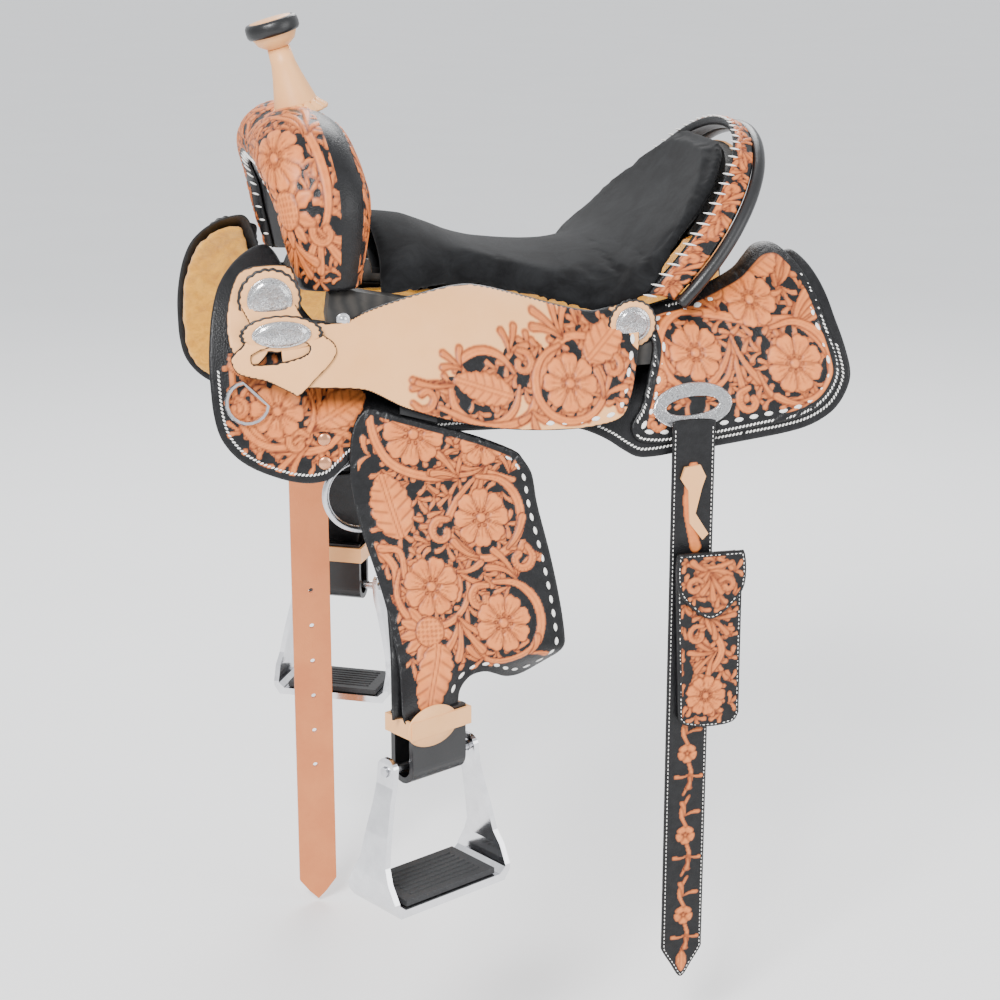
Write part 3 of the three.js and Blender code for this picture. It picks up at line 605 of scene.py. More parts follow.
def stitch_row(name, path, place, lift, body, material, slot, sign,
               pitch=15.5, length=9.5, width=4.6, height=1.1, slant=0.0, keep=None, closed=True):
    """Lace or thread seen as a row of small domed lozenges along a path."""
    path = np.asarray(path, float)
    if closed:
        path = np.vstack([path, path[:1]])
    steps = np.hypot(*np.diff(path, axis=0).T)
    along = np.concatenate([[0], np.cumsum(steps)])
    total = along[-1]
    stations = (np.arange(max(1, int(total / pitch))) + 0.5) * pitch
    rim = np.linspace(0, 2 * math.pi, 12, endpoint=False)
    bulge = width / 2 * np.sign(np.sin(rim)) * np.abs(np.sin(rim)) ** 1.3
    shape = np.stack([length / 2 * np.cos(rim), bulge], -1)
    vertices, faces = [], []
    for station in stations:
        middle = np.array([np.interp(station, along, path[:, k]) for k in range(2)])
        if keep and not keep(*middle):
            continue
        ahead = np.array([np.interp(min(station + 2, total), along, path[:, k]) for k in range(2)])
        angle = math.atan2(*(ahead - middle)[::-1]) + math.radians(slant)
        turn = np.array([[math.cos(angle), math.sin(angle)], [-math.sin(angle), math.cos(angle)]])
        base = sum(len(part) for part in vertices)
        for scale, rise in ((1.0, -0.4), (0.92, 0.3 * height), (0.55, 0.85 * height)):
            ring = middle + (shape * scale) @ turn
            vertices.append(place(ring[:, 0], ring[:, 1], np.full(len(ring), lift + rise)))
        vertices.append(place(middle[:1], middle[1:], np.array([lift + height])))
        for level in range(2):
            for k in range(12):
                m = (k + 1) % 12
                a = base + level * 12
                faces.append((a + k, a + m, a + 12 + m, a + 12 + k))
        faces += [(base + 24 + k, base + 24 + (k + 1) % 12, base + 36) for k in range(12)]
        faces.append(tuple(base + k for k in reversed(range(12))))
    if not vertices:
        return None
    return mesh_piece(name, np.vstack(vertices), faces, body, material, slot, sign)


# ---------- materials ----------
def material_base(name):
    material = bpy.data.materials.new(name)
    material.use_nodes = True
    tree = material.node_tree
    return material, tree, tree.nodes["Principled BSDF"]


def texture(tree, kind, scale, **inputs):
    node = tree.nodes.new(kind)
    place = tree.nodes.new("ShaderNodeTexCoord")
    tree.links.new(place.outputs["Object"], node.inputs["Vector"])
    node.inputs["Scale"].default_value = scale
    for key, value in inputs.items():
        node.inputs[key].default_value = value
    return node


def mix_colour(tree, share, first, second):
    """Mixes two colours, each a tuple or a socket, by a number or a socket."""
    node = tree.nodes.new("ShaderNodeMix")
    node.data_type = "RGBA"
    for socket, value in ((node.inputs[0], share), (node.inputs[6], first), (node.inputs[7], second)):
        if isinstance(value, bpy.types.NodeSocket):
            tree.links.new(value, socket)
        else:
            socket.default_value = (*value, 1.0) if isinstance(value, tuple) else value
    return node.outputs[2]


def base_colour(tree, shader, share, first, second):
    tree.links.new(mix_colour(tree, share, first, second), shader.inputs["Base Color"])


def remap(tree, value, low, high, new_low, new_high):
    node = tree.nodes.new("ShaderNodeMapRange")
    tree.links.new(value, node.inputs["Value"])
    limits = zip(("From Min", "From Max", "To Min", "To Max"), (low, high, new_low, new_high))
    for key, limit in limits:
        node.inputs[key].default_value = limit
    return node.outputs["Result"]


def math_node(tree, operation, first, second):
    node = tree.nodes.new("ShaderNodeMath")
    node.operation = operation
    for socket, value in zip(node.inputs, (first, second)):
        if isinstance(value, bpy.types.NodeSocket):
            tree.links.new(value, socket)
        else:
            socket.default_value = value
    return node.outputs[0]


def bump(tree, shader, height, strength, distance):
    node = tree.nodes.new("ShaderNodeBump")
    node.inputs["Strength"].default_value = strength
    node.inputs["Distance"].default_value = distance
    tree.links.new(height, node.inputs["Height"])
    tree.links.new(node.outputs["Normal"], shader.inputs["Normal"])


def leather_grain(tree, shader, strength):
    """Fine pores over slow unevenness."""
    pores = texture(tree, "ShaderNodeTexVoronoi", 850)
    uneven = texture(tree, "ShaderNodeTexNoise", 260, Detail=6.0, Roughness=0.6)
    total = math_node(tree, "ADD", pores.outputs["Distance"], uneven.outputs["Fac"])
    bump(tree, shader, total, strength, 0.0004)


def tooled_leather():
    """Carved leather, coloured by each vertex: tan or black, darkened in the cuts by burnish and painted
    shade, warm or pale.
    """
    material, tree, shader = material_base("tooled_leather")
    attribute = tree.nodes.new("ShaderNodeAttribute")
    attribute.attribute_name = "carve"
    parts = tree.nodes.new("ShaderNodeSeparateColor")
    tree.links.new(attribute.outputs["Color"], parts.inputs["Color"])
    tan, shade, warmth = (parts.outputs[k] for k in ("Red", "Green", "Blue"))
    cloud = texture(tree, "ShaderNodeTexNoise", 14, Detail=5.0, Roughness=0.65)
    fine = texture(tree, "ShaderNodeTexNoise", 120, Detail=4.0, Roughness=0.6)
    pale = mix_colour(tree, remap(tree, cloud.outputs["Fac"], 0.3, 0.7, 0, 1), PALE_TAN, PALE_TAN_DEEP)
    warm = mix_colour(tree, remap(tree, fine.outputs["Fac"], 0.3, 0.7, 0, 1), WARM_TAN, WARM_TAN_DEEP)
    hide = mix_colour(tree, warmth, pale, warm)
    burnished_and_shaded = mix_colour(tree, remap(tree, shade, 0, 0.8, 0, 1), hide, BURNISH_AND_SHADE_TAN)
    dye = mix_colour(tree, remap(tree, fine.outputs["Fac"], 0.3, 0.7, 0, 1), BLACK_DYE, BLACK_DYE_WORN)
    share = remap(tree, tan, 0.3, 0.7, 0, 1)
    base_colour(tree, shader, share, dye, burnished_and_shaded)
    tree.links.new(remap(tree, share, 0, 1, 0.38, 0.44), shader.inputs["Roughness"])
    pebble = texture(tree, "ShaderNodeTexVoronoi", 620)
    pebbled = math_node(tree, "MULTIPLY", pebble.outputs["Distance"], remap(tree, share, 0, 1, 1.5, 0.25))
    total = math_node(tree, "ADD", pebbled, math_node(tree, "MULTIPLY", fine.outputs["Fac"], 0.4))
    bump(tree, shader, total, 0.35, 0.0004)
    shader.inputs["Specular IOR Level"].default_value = 0.3
    return material


def smooth_leather(name, light, deep, roughness, grain=0.25):
    material, tree, shader = material_base(name)
    cloud = texture(tree, "ShaderNodeTexNoise", 18, Detail=6.0, Roughness=0.65)
    share = remap(tree, cloud.outputs["Fac"], 0.3, 0.7, 0, 1)
    base_colour(tree, shader, share, light, deep)
    tree.links.new(remap(tree, share, 0, 1, roughness - 0.05, roughness + 0.06), shader.inputs["Roughness"])
    leather_grain(tree, shader, grain)
    return material


def suede():
    material, tree, shader = material_base("suede")
    nap = texture(tree, "ShaderNodeTexNoise", 34, Detail=7.0, Roughness=0.7, Distortion=0.6)
    share = remap(tree, nap.outputs["Fac"], 0.38, 0.66, 0, 1)
    base_colour(tree, shader, share, (0.003, 0.003, 0.0035), (0.011, 0.0115, 0.0125))
    shader.inputs["Roughness"].default_value = 0.95
    shader.inputs["Specular IOR Level"].default_value = 0.2
    shader.inputs["Sheen Weight"].default_value = 0.05
    shader.inputs["Sheen Roughness"].default_value = 0.5
    fuzz = texture(tree, "ShaderNodeTexNoise", 1500, Detail=3.0)
    bump(tree, shader, fuzz.outputs["Fac"], 0.5, 0.0004)
    return material


def woolskin():
    material, tree, shader = material_base("woolskin")
    tufts = texture(tree, "ShaderNodeTexNoise", 60, Detail=8.0, Roughness=0.75, Distortion=1.2)
    share = remap(tree, tufts.outputs["Fac"], 0.35, 0.68, 0, 1)
    base_colour(tree, shader, share, (0.58, 0.23, 0.012), (0.88, 0.43, 0.035))
    shader.inputs["Roughness"].default_value = 0.95
    shader.inputs["Sheen Weight"].default_value = 0.35
    fuzz = texture(tree, "ShaderNodeTexNoise", 480, Detail=6.0, Roughness=0.8)
    bump(tree, shader, fuzz.outputs["Fac"], 0.9, 0.0015)
    return material


def bright_metal(name, colour_low, colour_high, roughness, scratch_scale=90):
    material, tree, shader = material_base(name)
    smears = texture(tree, "ShaderNodeTexNoise", scratch_scale, Detail=6.0, Roughness=0.7)
    share = remap(tree, smears.outputs["Fac"], 0.3, 0.7, 0, 1)
    base_colour(tree, shader, share, colour_low, colour_high)
    tree.links.new(remap(tree, share, 0, 1, roughness * 0.7, roughness * 1.3), shader.inputs["Roughness"])
    shader.inputs["Metallic"].default_value = 1.0
    bump(tree, shader, smears.outputs["Fac"], 0.05, 0.0004)
    return material


def engraved_silver():
    """Silver with bright-cut scrolls that are darkened in the cuts."""
    material, tree, shader = material_base("engraved_silver")
    scrolls = texture(tree, "ShaderNodeTexNoise", 190, Detail=2.0, Distortion=2.5)
    waves = math_node(tree, "SINE", math_node(tree, "MULTIPLY", scrolls.outputs["Fac"], 55.0), 0.0)
    cut = remap(tree, waves, 0.15, 0.75, 0, 1)
    base_colour(tree, shader, cut, (0.80, 0.80, 0.81), (0.16, 0.16, 0.165))
    tree.links.new(remap(tree, cut, 0, 1, 0.16, 0.45), shader.inputs["Roughness"])
    shader.inputs["Metallic"].default_value = 1.0
    bump(tree, shader, cut, 0.6, -0.0005)
    return material


def matt(name, scale, first, second, roughness):
    material, tree, shader = material_base(name)
    noise = texture(tree, "ShaderNodeTexNoise", scale, Detail=4.0)
    share = remap(tree, noise.outputs["Fac"], 0.3, 0.7, 0, 1)
    base_colour(tree, shader, share, first, second)
    shader.inputs["Roughness"].default_value = roughness
    bump(tree, shader, noise.outputs["Fac"], 0.4, 0.0004)
    return material


def plain_wood():
    material, tree, shader = material_base("wood")
    rings = texture(tree, "ShaderNodeTexWave", 22, Distortion=6.0, Detail=4.0)
    share = remap(tree, rings.outputs["Fac"], 0, 1, 0, 1)
    base_colour(tree, shader, share, (0.010, 0.009, 0.008), (0.030, 0.026, 0.022))
    shader.inputs["Roughness"].default_value = 0.6
    bump(tree, shader, rings.outputs["Fac"], 0.2, 0.0004)
    return material


PALE_TAN = (0.84, 0.43, 0.175)
PALE_TAN_DEEP = (0.79, 0.38, 0.14)
WARM_TAN = (0.76, 0.235, 0.06)
WARM_TAN_DEEP = (0.64, 0.17, 0.04)
# the dark brown of the cuts: burnished leather and painted shade in the recesses
BURNISH_AND_SHADE_TAN = (0.13, 0.022, 0.006)
BLACK_DYE = (0.003, 0.003, 0.0035)
BLACK_DYE_WORN = (0.009, 0.009, 0.010)

TOOLED = tooled_leather()
TAN = smooth_leather("tan_leather", PALE_TAN, PALE_TAN_DEEP, 0.42)
LATIGO = smooth_leather("latigo_leather", (0.62, 0.20, 0.06), (0.54, 0.155, 0.045), 0.5, 0.35)
BLACK = smooth_leather("black_leather", (0.003, 0.003, 0.0035), (0.010, 0.010, 0.011), 0.34, 0.2)
SUEDE = suede()
WOOL = woolskin()
SILVER = engraved_silver()
STEEL = bright_metal("steel", (0.50, 0.50, 0.52), (0.68, 0.68, 0.70), 0.22)
ALUMINIUM = bright_metal("polished_aluminium", (0.62, 0.62, 0.64), (0.80, 0.80, 0.82), 0.14, 40)
COPPER = bright_metal("copper", (0.55, 0.24, 0.12), (0.75, 0.38, 0.22), 0.25)
WHITE_LACE = matt("white_lace", 900, (0.72, 0.70, 0.66), (0.92, 0.91, 0.88), 0.6)
RUBBER = matt("rubber", 700, (0.012, 0.012, 0.013), (0.035, 0.036, 0.038), 0.75)
WOOD = plain_wood()


# ---------- carvings ----------
def fender_carving():
    c = Carving((-206, -330), (14, 30))
    c.sprigs((-166, -256), (-40, -20))
    c.stroke([(-160, 10), (-176, -30), (-160, -72), (-120, -90), (-70, -88), (-36, -98)], [5, 8, 9, 9, 8, 6])
    c.frond((-178, -66), 165, 22, 2, 30)
    c.frond((-62, -84), 215, 62, 5, 22, 34, 8)
    c.frond((-40, -90), 70, 38, 4, 34, 24, 7)
    c.frond((-92, -92), 120, 30, 3, 30, 20, 7)
    c.ring((-69, -131), 39, 95, -245, 9)
    c.frond((-76, -168), 150, 34, 3, 18, -24, 7)
    c.frond((-46, -162), 20, 40, 2, 20, 20, 8)
    c.stroke([(-176, -152), (-160, -172), (-158, -205), (-140, -228), (-112, -236), (-98, -262)],
             [8, 8, 8, 8, 9, 5])
    c.ring((-124, -193), 36, 150, 250, 7)
    c.ring((-56, -229), 38, 100, -250, 9)
    c.frond((-100, -222), -75, 40, 4, 24, 20, 8)
    c.frond((-98, -180), -40, 30, 3, 28, 30, 7)
    c.frond((-40, -190), 100, 36, 4, 30, 30, 7)
    c.frond((-30, -262), 30, 22, 2, 20, 20, 7)
    c.frond((-78, -262), 190, 22, 2, 30, 20, 7)
    for centre, turn in (((-78, -70), -300), ((-110, -143), 300), ((-33, -172), -300), ((-76, -206), 300)):
        c.scroll(centre, 13, 60, turn, 8, 5)
    c.leaf((-150, -146), (-168, -84), 42)
    c.stroke([(-172, -154), (-154, -158), (-150, -182)], [8, 6, 6])
    c.seeds((-130, -233), 27, 8, 100, 230)
    c.leaf((-122, -244), (-131, -308), 38)
    c.flower((-66, -60), 23, 7, 20)
    c.flower((-134, -48), 31, 8, 10)
    for centre, turn in (((-70, -132), 0), ((-125, -192), 18), ((-56, -230), 30)):
        c.flower(centre, 28, 8, turn)
    return c


def housing_carving():
    c = Carving((74, -78), (320, 120))
    c.sprigs((96, -30), (290, 96))
    c.stroke([(98, 34), (128, 52), (176, 50), (222, 42), (262, 42), (292, 12), (290, -24)],
             [6, 9, 9, 8, 9, 9, 5])
    c.frond((118, 40), 250, 52, 5, 20, 20, 8)
    c.frond((262, 40), 40, 40, 5, 34, -20, 9)
    c.frond((252, 74), 60, 36, 4, 34, -24, 8)
    c.frond((186, 52), 100, 36, 4, 34, 24, 8)
    c.frond((196, 30), 270, 60, 3, 12, 20, 8)
    c.frond((140, 58), 60, 34, 3, 26, 20, 8)
    c.ring((158, 15), 37, 70, 285, 9)
    c.ring((257, 3), 39, 120, -290, 9)
    c.frond((268, -36), 200, 40, 3, 16, 20, 8)
    c.frond((132, -16), 190, 22, 3, 30, 20, 6)
    for centre, turn, radius in (((208, -32), 300, 13), ((113, -10), -300, 11), ((190, 72), 300, 12)):
        c.scroll(centre, radius, 90, turn, 8, 5)
    c.stroke([(96, -24), (110, -34), (104, -52)], [7, 8, 5], ticks=1)
    c.scroll((112, -50), 10, 120, -280, 7, 5)
    c.leaf((228, 88), (262, 106), 30, 5)
    c.flower((222, 62), 26, 8, 12)
    c.flower((158, 15), 27, 8, 0)
    c.flower((257, 3), 29, 8, 22)
    return c


def jockey_carving():
    c = Carving((-266, -58), (112, 96), tan=1.0, warmth=0.0)
    grounds = (((-62, -6), 31), ((24, -6), 35), ((62, 30), 30), ((-18, 10), 26), ((76, 0), 30),
               ((40, 30), 30), ((-96, -14), 20))
    for centre, radius in grounds:
        c.paint(centre, radius)
        c.sprigs(np.array(centre) - radius * 0.7, np.array(centre) + radius * 0.7, 14, 12)
    c.ring((-62, -6), 35, 170, 190, 9)
    c.ring((-62, -6), 33, 150, -130, 8)
    c.frond((-92, -2), 176, 44, 4, 12, -16, 6)
    c.frond((-84, 12), 130, 22, 3, 24, 20, 6)
    c.frond((-34, 24), 60, 24, 3, 26, 20, 6)
    c.scroll((-122, -12), 13, 200, 290, 7, 4)
    c.scroll((-22, 14), 12, 100, -300, 7, 4)
    c.stroke([(-108, -22), (-60, -42), (-20, -34), (-4, 4), (24, 34), (58, 30), (62, 8)],
             [5, 7, 8, 8, 8, 7, 4])
    c.ring((24, -6), 35, 100, 300, 8)
    c.frond((-16, -30), 270, 18, 3, 36, 20, 7)
    c.frond((56, -20), 60, 30, 3, 22, 20, 7)
    c.frond((22, 34), 115, 36, 4, 26, 20, 7)
    c.frond((40, 46), 80, 30, 4, 26, -20, 7)
    c.scroll((68, 8), 12, 120, -300, 7, 4)
    c.leaf((-34, -16), (-92, 4), 30, 7)
    c.leaf((44, 14), (84, 48), 32, 5)
    c.flower((24, -6), 28, 8, 5)
    return c


def skirt_carving():
    c = Carving((-336, -100), (326, 136))
    c.sprigs((-300, -70), (-190, 24))
    c.stroke([(-306, 30), (-302, -10), (-270, -56), (-220, -58), (-190, -30)], [5, 7, 8, 8, 6])
    c.frond((-232, -40), 30, 52, 5, 26, 20, 7)
    c.frond((-236, -56), 200, 40, 4, 22, 20, 7)
    c.frond((-290, 0), 80, 34, 4, 26, 20, 7)
    c.ring((-264, -20), 36, 120, 280, 7)
    c.scroll((-246, -52), 12, 30, 300, 7, 5)
    c.scroll((-302, -18), 11, 90, -300, 6, 4)
    c.leaf((-226, -34), (-176, -12), 30, 6)
    c.flower((-264, -21), 27, 8, 8)
    return c


def pouch_carving():
    c = Carving((124, -374), (206, -172))
    c.sprigs((138, -356), (192, -180), 14, 12)
    c.stroke([(150, -196), (176, -214), (162, -250), (178, -286), (160, -318)], [6, 8, 7, 8, 5])
    c.frond((170, -216), 230, 30, 4, 30, 20, 6)
    c.frond((164, -250), -20, 28, 4, 36, 20, 6)
    c.frond((172, -288), 200, 30, 4, 34, 20, 6)
    c.scroll((152, -268), 11, 60, 300, 6, 4)
    c.leaf((152, -222), (140, -196), 16, 4)
    c.flower((162, -334), 22, 9, 0)
    return c


def flap_carving():
    c = Carving((120, -256), (206, -172))
    c.sprigs((138, -236), (192, -180), 14, 12)
    c.stroke([(138, -190), (160, -196), (184, -190)], [4, 7, 4])
    c.frond((162, -198), 200, 26, 3, 26, 24, 7)
    c.frond((162, -198), -20, 26, 3, 26, -24, 7)
    c.frond((164, -204), 270, 24, 3, 22, 10, 7)
    c.scroll((146, -214), 9, 30, 300, 6, 4)
    c.scroll((180, -214), 9, 150, -300, 6, 4)
    return c


def billet_carving():
    c = Carving((120, -662), (172, -40))
    for number in range(3):
        z = -400 - 92 * number
        c.stroke([(150, z + 44), (142, z + 26), (148, z + 8)], [3, 5, 4])
        c.stroke([(148, z - 8), (152, z - 26), (144, z - 46)], [4, 5, 3])
        c.frond((146, z + 22), 60, 18, 2, 26, 20, 5)
        c.frond((150, z - 24), 230, 18, 2, 26, 20, 5)
        c.frond((150, z - 24), -50, 18, 2, 26, 20, 5)
        c.flower((147, z), 11, 5, 90)
    c.leaf((146, -626), (146, -650), 12, 3)
    c.stroke([(146, -92), (140, -130), (150, -176)], [10, 8, 12], 0.6, 0)
    return c


def swell_carving():
    """Drawn on the unrolled swell: distance from the middle of the arch, and from its front edge."""
    c = Carving((-4, -4), (240, 210))
    c.sprigs((8, 22), (214, 190))
    c.stroke([(-4, 36), (40, 60), (92, 92), (150, 96), (178, 84)], [7, 8, 9, 9, 5])
    c.frond((60, 58), 200, 40, 4, 26, 20, 9)
    c.frond((86, 34), 190, 40, 4, 26, 24, 8)
    c.frond((40, 30), 60, 36, 3, 24, 20, 8)
    c.frond((96, 92), 160, 44, 3, 18, 20, 8)
    c.frond((166, 84), 20, 40, 4, 30, 20, 10)
    c.scroll((170, 90), 13, 200, 300, 8, 5)
    c.scroll((74, 30), 12, 100, -300, 7, 5)
    c.frond((178, 56), 0, 34, 4, 34, 20, 10)
    c.seeds((152, 52), 30, 10, 0)
    c.flower((108, 56), 30, 9, 0)
    c.flower((24, 96), 24, 8, 0)
    c.stroke([(-4, 140), (60, 152), (130, 158), (200, 150)], [8, 12, 11, 5])
    for start in (40, 80, 120, 160):
        c.frond((start + 10, 154), 200, 34, 3, 26, 20, 8)
        c.frond((start, 158), 20, 30, 2, 20, -20, 8)
    c.flower((20, 150), 20, 8, 0)
    return c


def cantle_carving(length, width):
    c = Carving((-length / 2 - 4, -4), (length / 2 + 4, width + 6))
    c.sprigs((-length / 2, 4), (length / 2, width), 13, 11)
    for number in range(7):
        start = -length / 2 + 24 + number * (length - 50) / 6
        c.stroke([(start - 36, width * 0.7), (start, width * 0.32), (start + 30, width * 0.56)], [5, 7, 4])
        c.frond((start - 6, width * 0.4), 150, 34, 4, 20, 20, 7)
        c.frond((start + 4, width * 0.4), 30, 32, 3, 22, 24, 7)
        c.scroll((start + 24, width * 0.55), width * 0.26, 200, 280, 6, 4)
        c.frond((start - 20, width * 0.5), -150, 20, 2, 24, 20, 6)
    return c


# ---------- leather over a curved surface ----------
def shell(name, points, thickness, body, material, slot, fields=None, flip=False, sign=-1):
    """A closed skin from a grid of near-side points; fields are carved height, tan, shade and warmth."""
    rows, columns = points.shape[:2]
    normal = np.cross(np.gradient(points, axis=0), np.gradient(points, axis=1))
    normal /= np.maximum(np.linalg.norm(normal, axis=-1), 1e-9)[..., None]
    if flip:
        normal = -normal
    if fields is None:
        fields = [np.zeros((rows, columns)) for _ in range(4)]
    row, column = np.meshgrid(np.arange(rows), np.arange(columns), indexing="ij")
    rim = np.minimum(np.minimum(row, rows - 1 - row), np.minimum(column, columns - 1 - column))
    fade = np.clip(rim / 2.0, 0, 1)
    top = points + normal * (CARVING_DEPTH * fields[0] * fade - 0.3 * thickness * (1 - fade))[..., None]
    back = points - normal * (thickness * (0.7 + 0.3 * fade))[..., None]
    front_faces = grid_faces(rows, columns)
    count = rows * columns
    faces = front_faces + [tuple(count + v for v in reversed(face)) for face in front_faces]
    edge = [(0, j) for j in range(columns)] + [(i, columns - 1) for i in range(1, rows)]
    edge += [(rows - 1, j) for j in range(columns - 2, -1, -1)] + [(i, 0) for i in range(rows - 2, 0, -1)]
    ring = [i * columns + j for i, j in edge]
    faces += [(a, b, count + b, count + a) for a, b in zip(ring, ring[1:] + ring[:1])]
    vertices = np.vstack([top.reshape(-1, 3), back.reshape(-1, 3)])
    piece = mesh_piece(name, vertices, faces, body, material, slot, sign)
    outward_faces(piece)
    blank = np.zeros(count)
    colour(piece, *(np.concatenate([field.ravel(), blank]) for field in fields[1:]))
    return piece


def even_path(points, count):
    """Points evenly spaced along a smooth curve."""
    curve = spline(points, 24)
    along = np.concatenate([[0], np.cumsum(np.linalg.norm(np.diff(curve, axis=0), axis=1))])
    stations = np.linspace(0, along[-1], count)
    return np.stack([np.interp(stations, along, curve[:, k]) for k in range(3)], -1), along[-1]


def mirrored_path(half):
    """A path from the near side over the middle to the off side."""
    half = np.array(half, float)
    return np.vstack([half, half[-2::-1] * [1, -1, 1]])


def tube(name, path, radius, body, material, slot, closed=False, sign=-1, sides=14, across=(1, 0, 0)):
    vertices, faces = sweep(path, round_section(radius, sides), across, closed)
    piece = mesh_piece(name, vertices, faces, body, material, slot, sign)
    outward_faces(piece)
    return piece


def turned(name, centre, axis, outline, body, material, slot, sign=-1, sides=48,
           scallops=0, depth=0.0, oval=1.0):
    """A turned shape: (radius, height) pairs spun round an axis, with a scalloped or oval rim if asked."""
    axis = Vector(axis).normalized()
    first = axis.cross(Vector((0, 0, 1)))
    if first.length < 0.1:
        first = axis.cross(Vector((1, 0, 0)))
    first.normalize()
    second = axis.cross(first)
    vertices, faces = [], []
    for radius, height in outline:
        for k in range(sides):
            angle = 2 * math.pi * k / sides
            reach = radius - (depth * (0.5 - 0.5 * abs(math.cos(scallops * angle / 2))) if scallops else 0)
            reach = max(reach, 0.001)
            point = (Vector(centre) + first * (reach * math.cos(angle) * oval)
                     + second * (reach * math.sin(angle)) + axis * height)
            vertices.append(tuple(point))
    count = len(outline)
    faces = grid_faces(count, sides, wrap_columns=True)
    faces.append(tuple(range(sides)))
    faces.append(tuple((count - 1) * sides + k for k in reversed(range(sides))))
    piece = mesh_piece(name, vertices, faces, body, material, slot, sign)
    outward_faces(piece)
    return piece


# ---------- the two sides ----------
def lace_round(name, loop, place, lift, body, slot, sign, depth, keep, **sizes):
    path = inset(loop, depth)
    return stitch_row(name, path, place, lift, body, WHITE_LACE, slot, sign, keep=keep, **sizes)


def trimmed(loops):
    """Keeps wool below the seat's edge, except at the front, where it shows."""
    for loop in loops[:1]:
        under_seat = smoothstep(loop[:, 0], -262, -236) * (1 - smoothstep(loop[:, 0], 150, 190))
        loop[:, 1] -= np.maximum(loop[:, 1] - 50, 0) * under_seat
    return loops


def panel(base, tag, sign, surface, inner, outer, slot, material=TOOLED, body="saddle", **options):
    node = f"{base}_{tag}"
    loops = trimmed(outlines(node)) if material == WOOL else outlines(node)
    piece = leather_sheet(f"{node}_leather", loops, surface, inner, outer, body, material,
                          slot, sign, **options)
    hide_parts(node)
    return piece


def concho(name, tag, sign, x, z, radius, lift, node, oval=1.0):
    """A domed, engraved silver concho with a beaded rim on a scalloped leather rosette."""
    base = float(side(np.array([float(x)]), np.array([float(z)]))[0]) + lift
    centre = (x, -base, z)
    for layer, scale, drop, leather in (("shadow", 1.42, 0.0, BLACK), ("rosette", 1.30, 1.4, TAN)):
        rosette = [(radius * scale - 0.8, drop - 2.6), (radius * scale, drop - 2.0),
                   (radius * scale, drop - 1.2), (radius * scale - 0.9, drop - 0.6),
                   (radius * 0.8, drop - 0.5)]
        turned(f"{name}_{layer}_{tag}", centre, OUTWARD, rosette, "saddle", leather, "black_leather", sign,
               96, 22, radius * 0.14, oval)
    dome = [(radius, 0.6), (radius, 1.8), (radius * 0.94, 2.6), (radius * 0.86, 2.2)]
    dome += [(radius * r, 2.4 + 2.6 * math.sqrt(1 - r * r)) for r in (0.8, 0.6, 0.4, 0.2, 0.05)]
    piece = turned(f"{name}_silver_{tag}", centre, OUTWARD, dome, "saddle", SILVER, "engraved_silver",
                   sign, 72, 0, 0.0, oval)
    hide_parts(node)


def make_side(tag, sign):
    on_skirt, on_side = beside(under_bars), beside(side)
    panel("skirt", tag, sign, on_skirt, -LEATHER, 0, "black_leather", carving=skirt_carving(), step=1.6,
          dye=8, relief=0.5)
    skirt = outlines(f"skirt_{tag}")[0]
    lace_round(f"skirt_rope_{tag}", skirt, on_skirt, 0.3, "saddle", "black_leather", sign, 8.5,
               lambda x, z: z < 20, pitch=3.8, length=4.2, width=2.0, height=0.8, slant=35)
    wool_top = -LEATHER - GAP
    fleece = panel("fleece_lining", tag, sign, on_skirt, wool_top - FLEECE, wool_top, "fleece", WOOL,
                   step=3.2, rounding=3.4)
    ruffle(fleece, 1.3)
    panel("rear_housing", tag, sign, on_side, GAP, GAP + LEATHER, "carved_leather", carving=housing_carving(),
          step=CARVED_STEP, dye=11)
    housing = outlines(f"rear_housing_{tag}")[0]
    outside = (lambda x, z: x > 92 and (z < 66 or x > 280))
    lace_round(f"housing_lace_{tag}", housing, on_side, 4.2, "saddle", "carved_leather", sign, 11, outside)
    lace_round(f"housing_rope_{tag}", housing, on_side, 4.1, "saddle", "carved_leather", sign, 3.6, outside,
               pitch=3.8, length=4.2, width=2.0, height=0.8, slant=35)
    jockey_top = JOCKEY_LIFT + LEATHER
    panel("seat_jockey", tag, sign, on_side, JOCKEY_LIFT, jockey_top, "plain_leather",
          carving=jockey_carving(), step=CARVED_STEP)
    jockey = outlines(f"seat_jockey_{tag}")[0]
    lace_round(f"jockey_lace_{tag}", jockey, on_side, 17.7, "saddle", "plain_leather", sign, 7,
               lambda x, z: x > -10 and z < 36)
    panel("front_jockey", tag, sign, on_side, JOCKEY_LIFT, jockey_top, "plain_leather", step=PLAIN_STEP)
    panel("latigo_keeper", tag, sign, on_side, KEEPER_LIFT, KEEPER_LIFT + LEATHER, "plain_leather",
          step=1.5)
    panel("rear_rigging_plate", tag, sign, on_side, PLATE_LIFT, PLATE_LIFT + PLATE_THICKNESS,
          "engraved_silver", SILVER, step=1.2)
    concho("front_concho", tag, sign, -266, 84, 22, 24, f"front_concho_{tag}")
    concho("oval_concho", tag, sign, -258, 54, 13, 24, f"oval_concho_{tag}", 2.2)
    concho("seat_concho", tag, sign, 96, 44, 18, 20, f"seat_concho_{tag}")
    make_hardware(tag, sign)
    make_fender(tag, sign)
    make_loop_strap(tag, sign)
    make_stirrup_details(tag, sign)


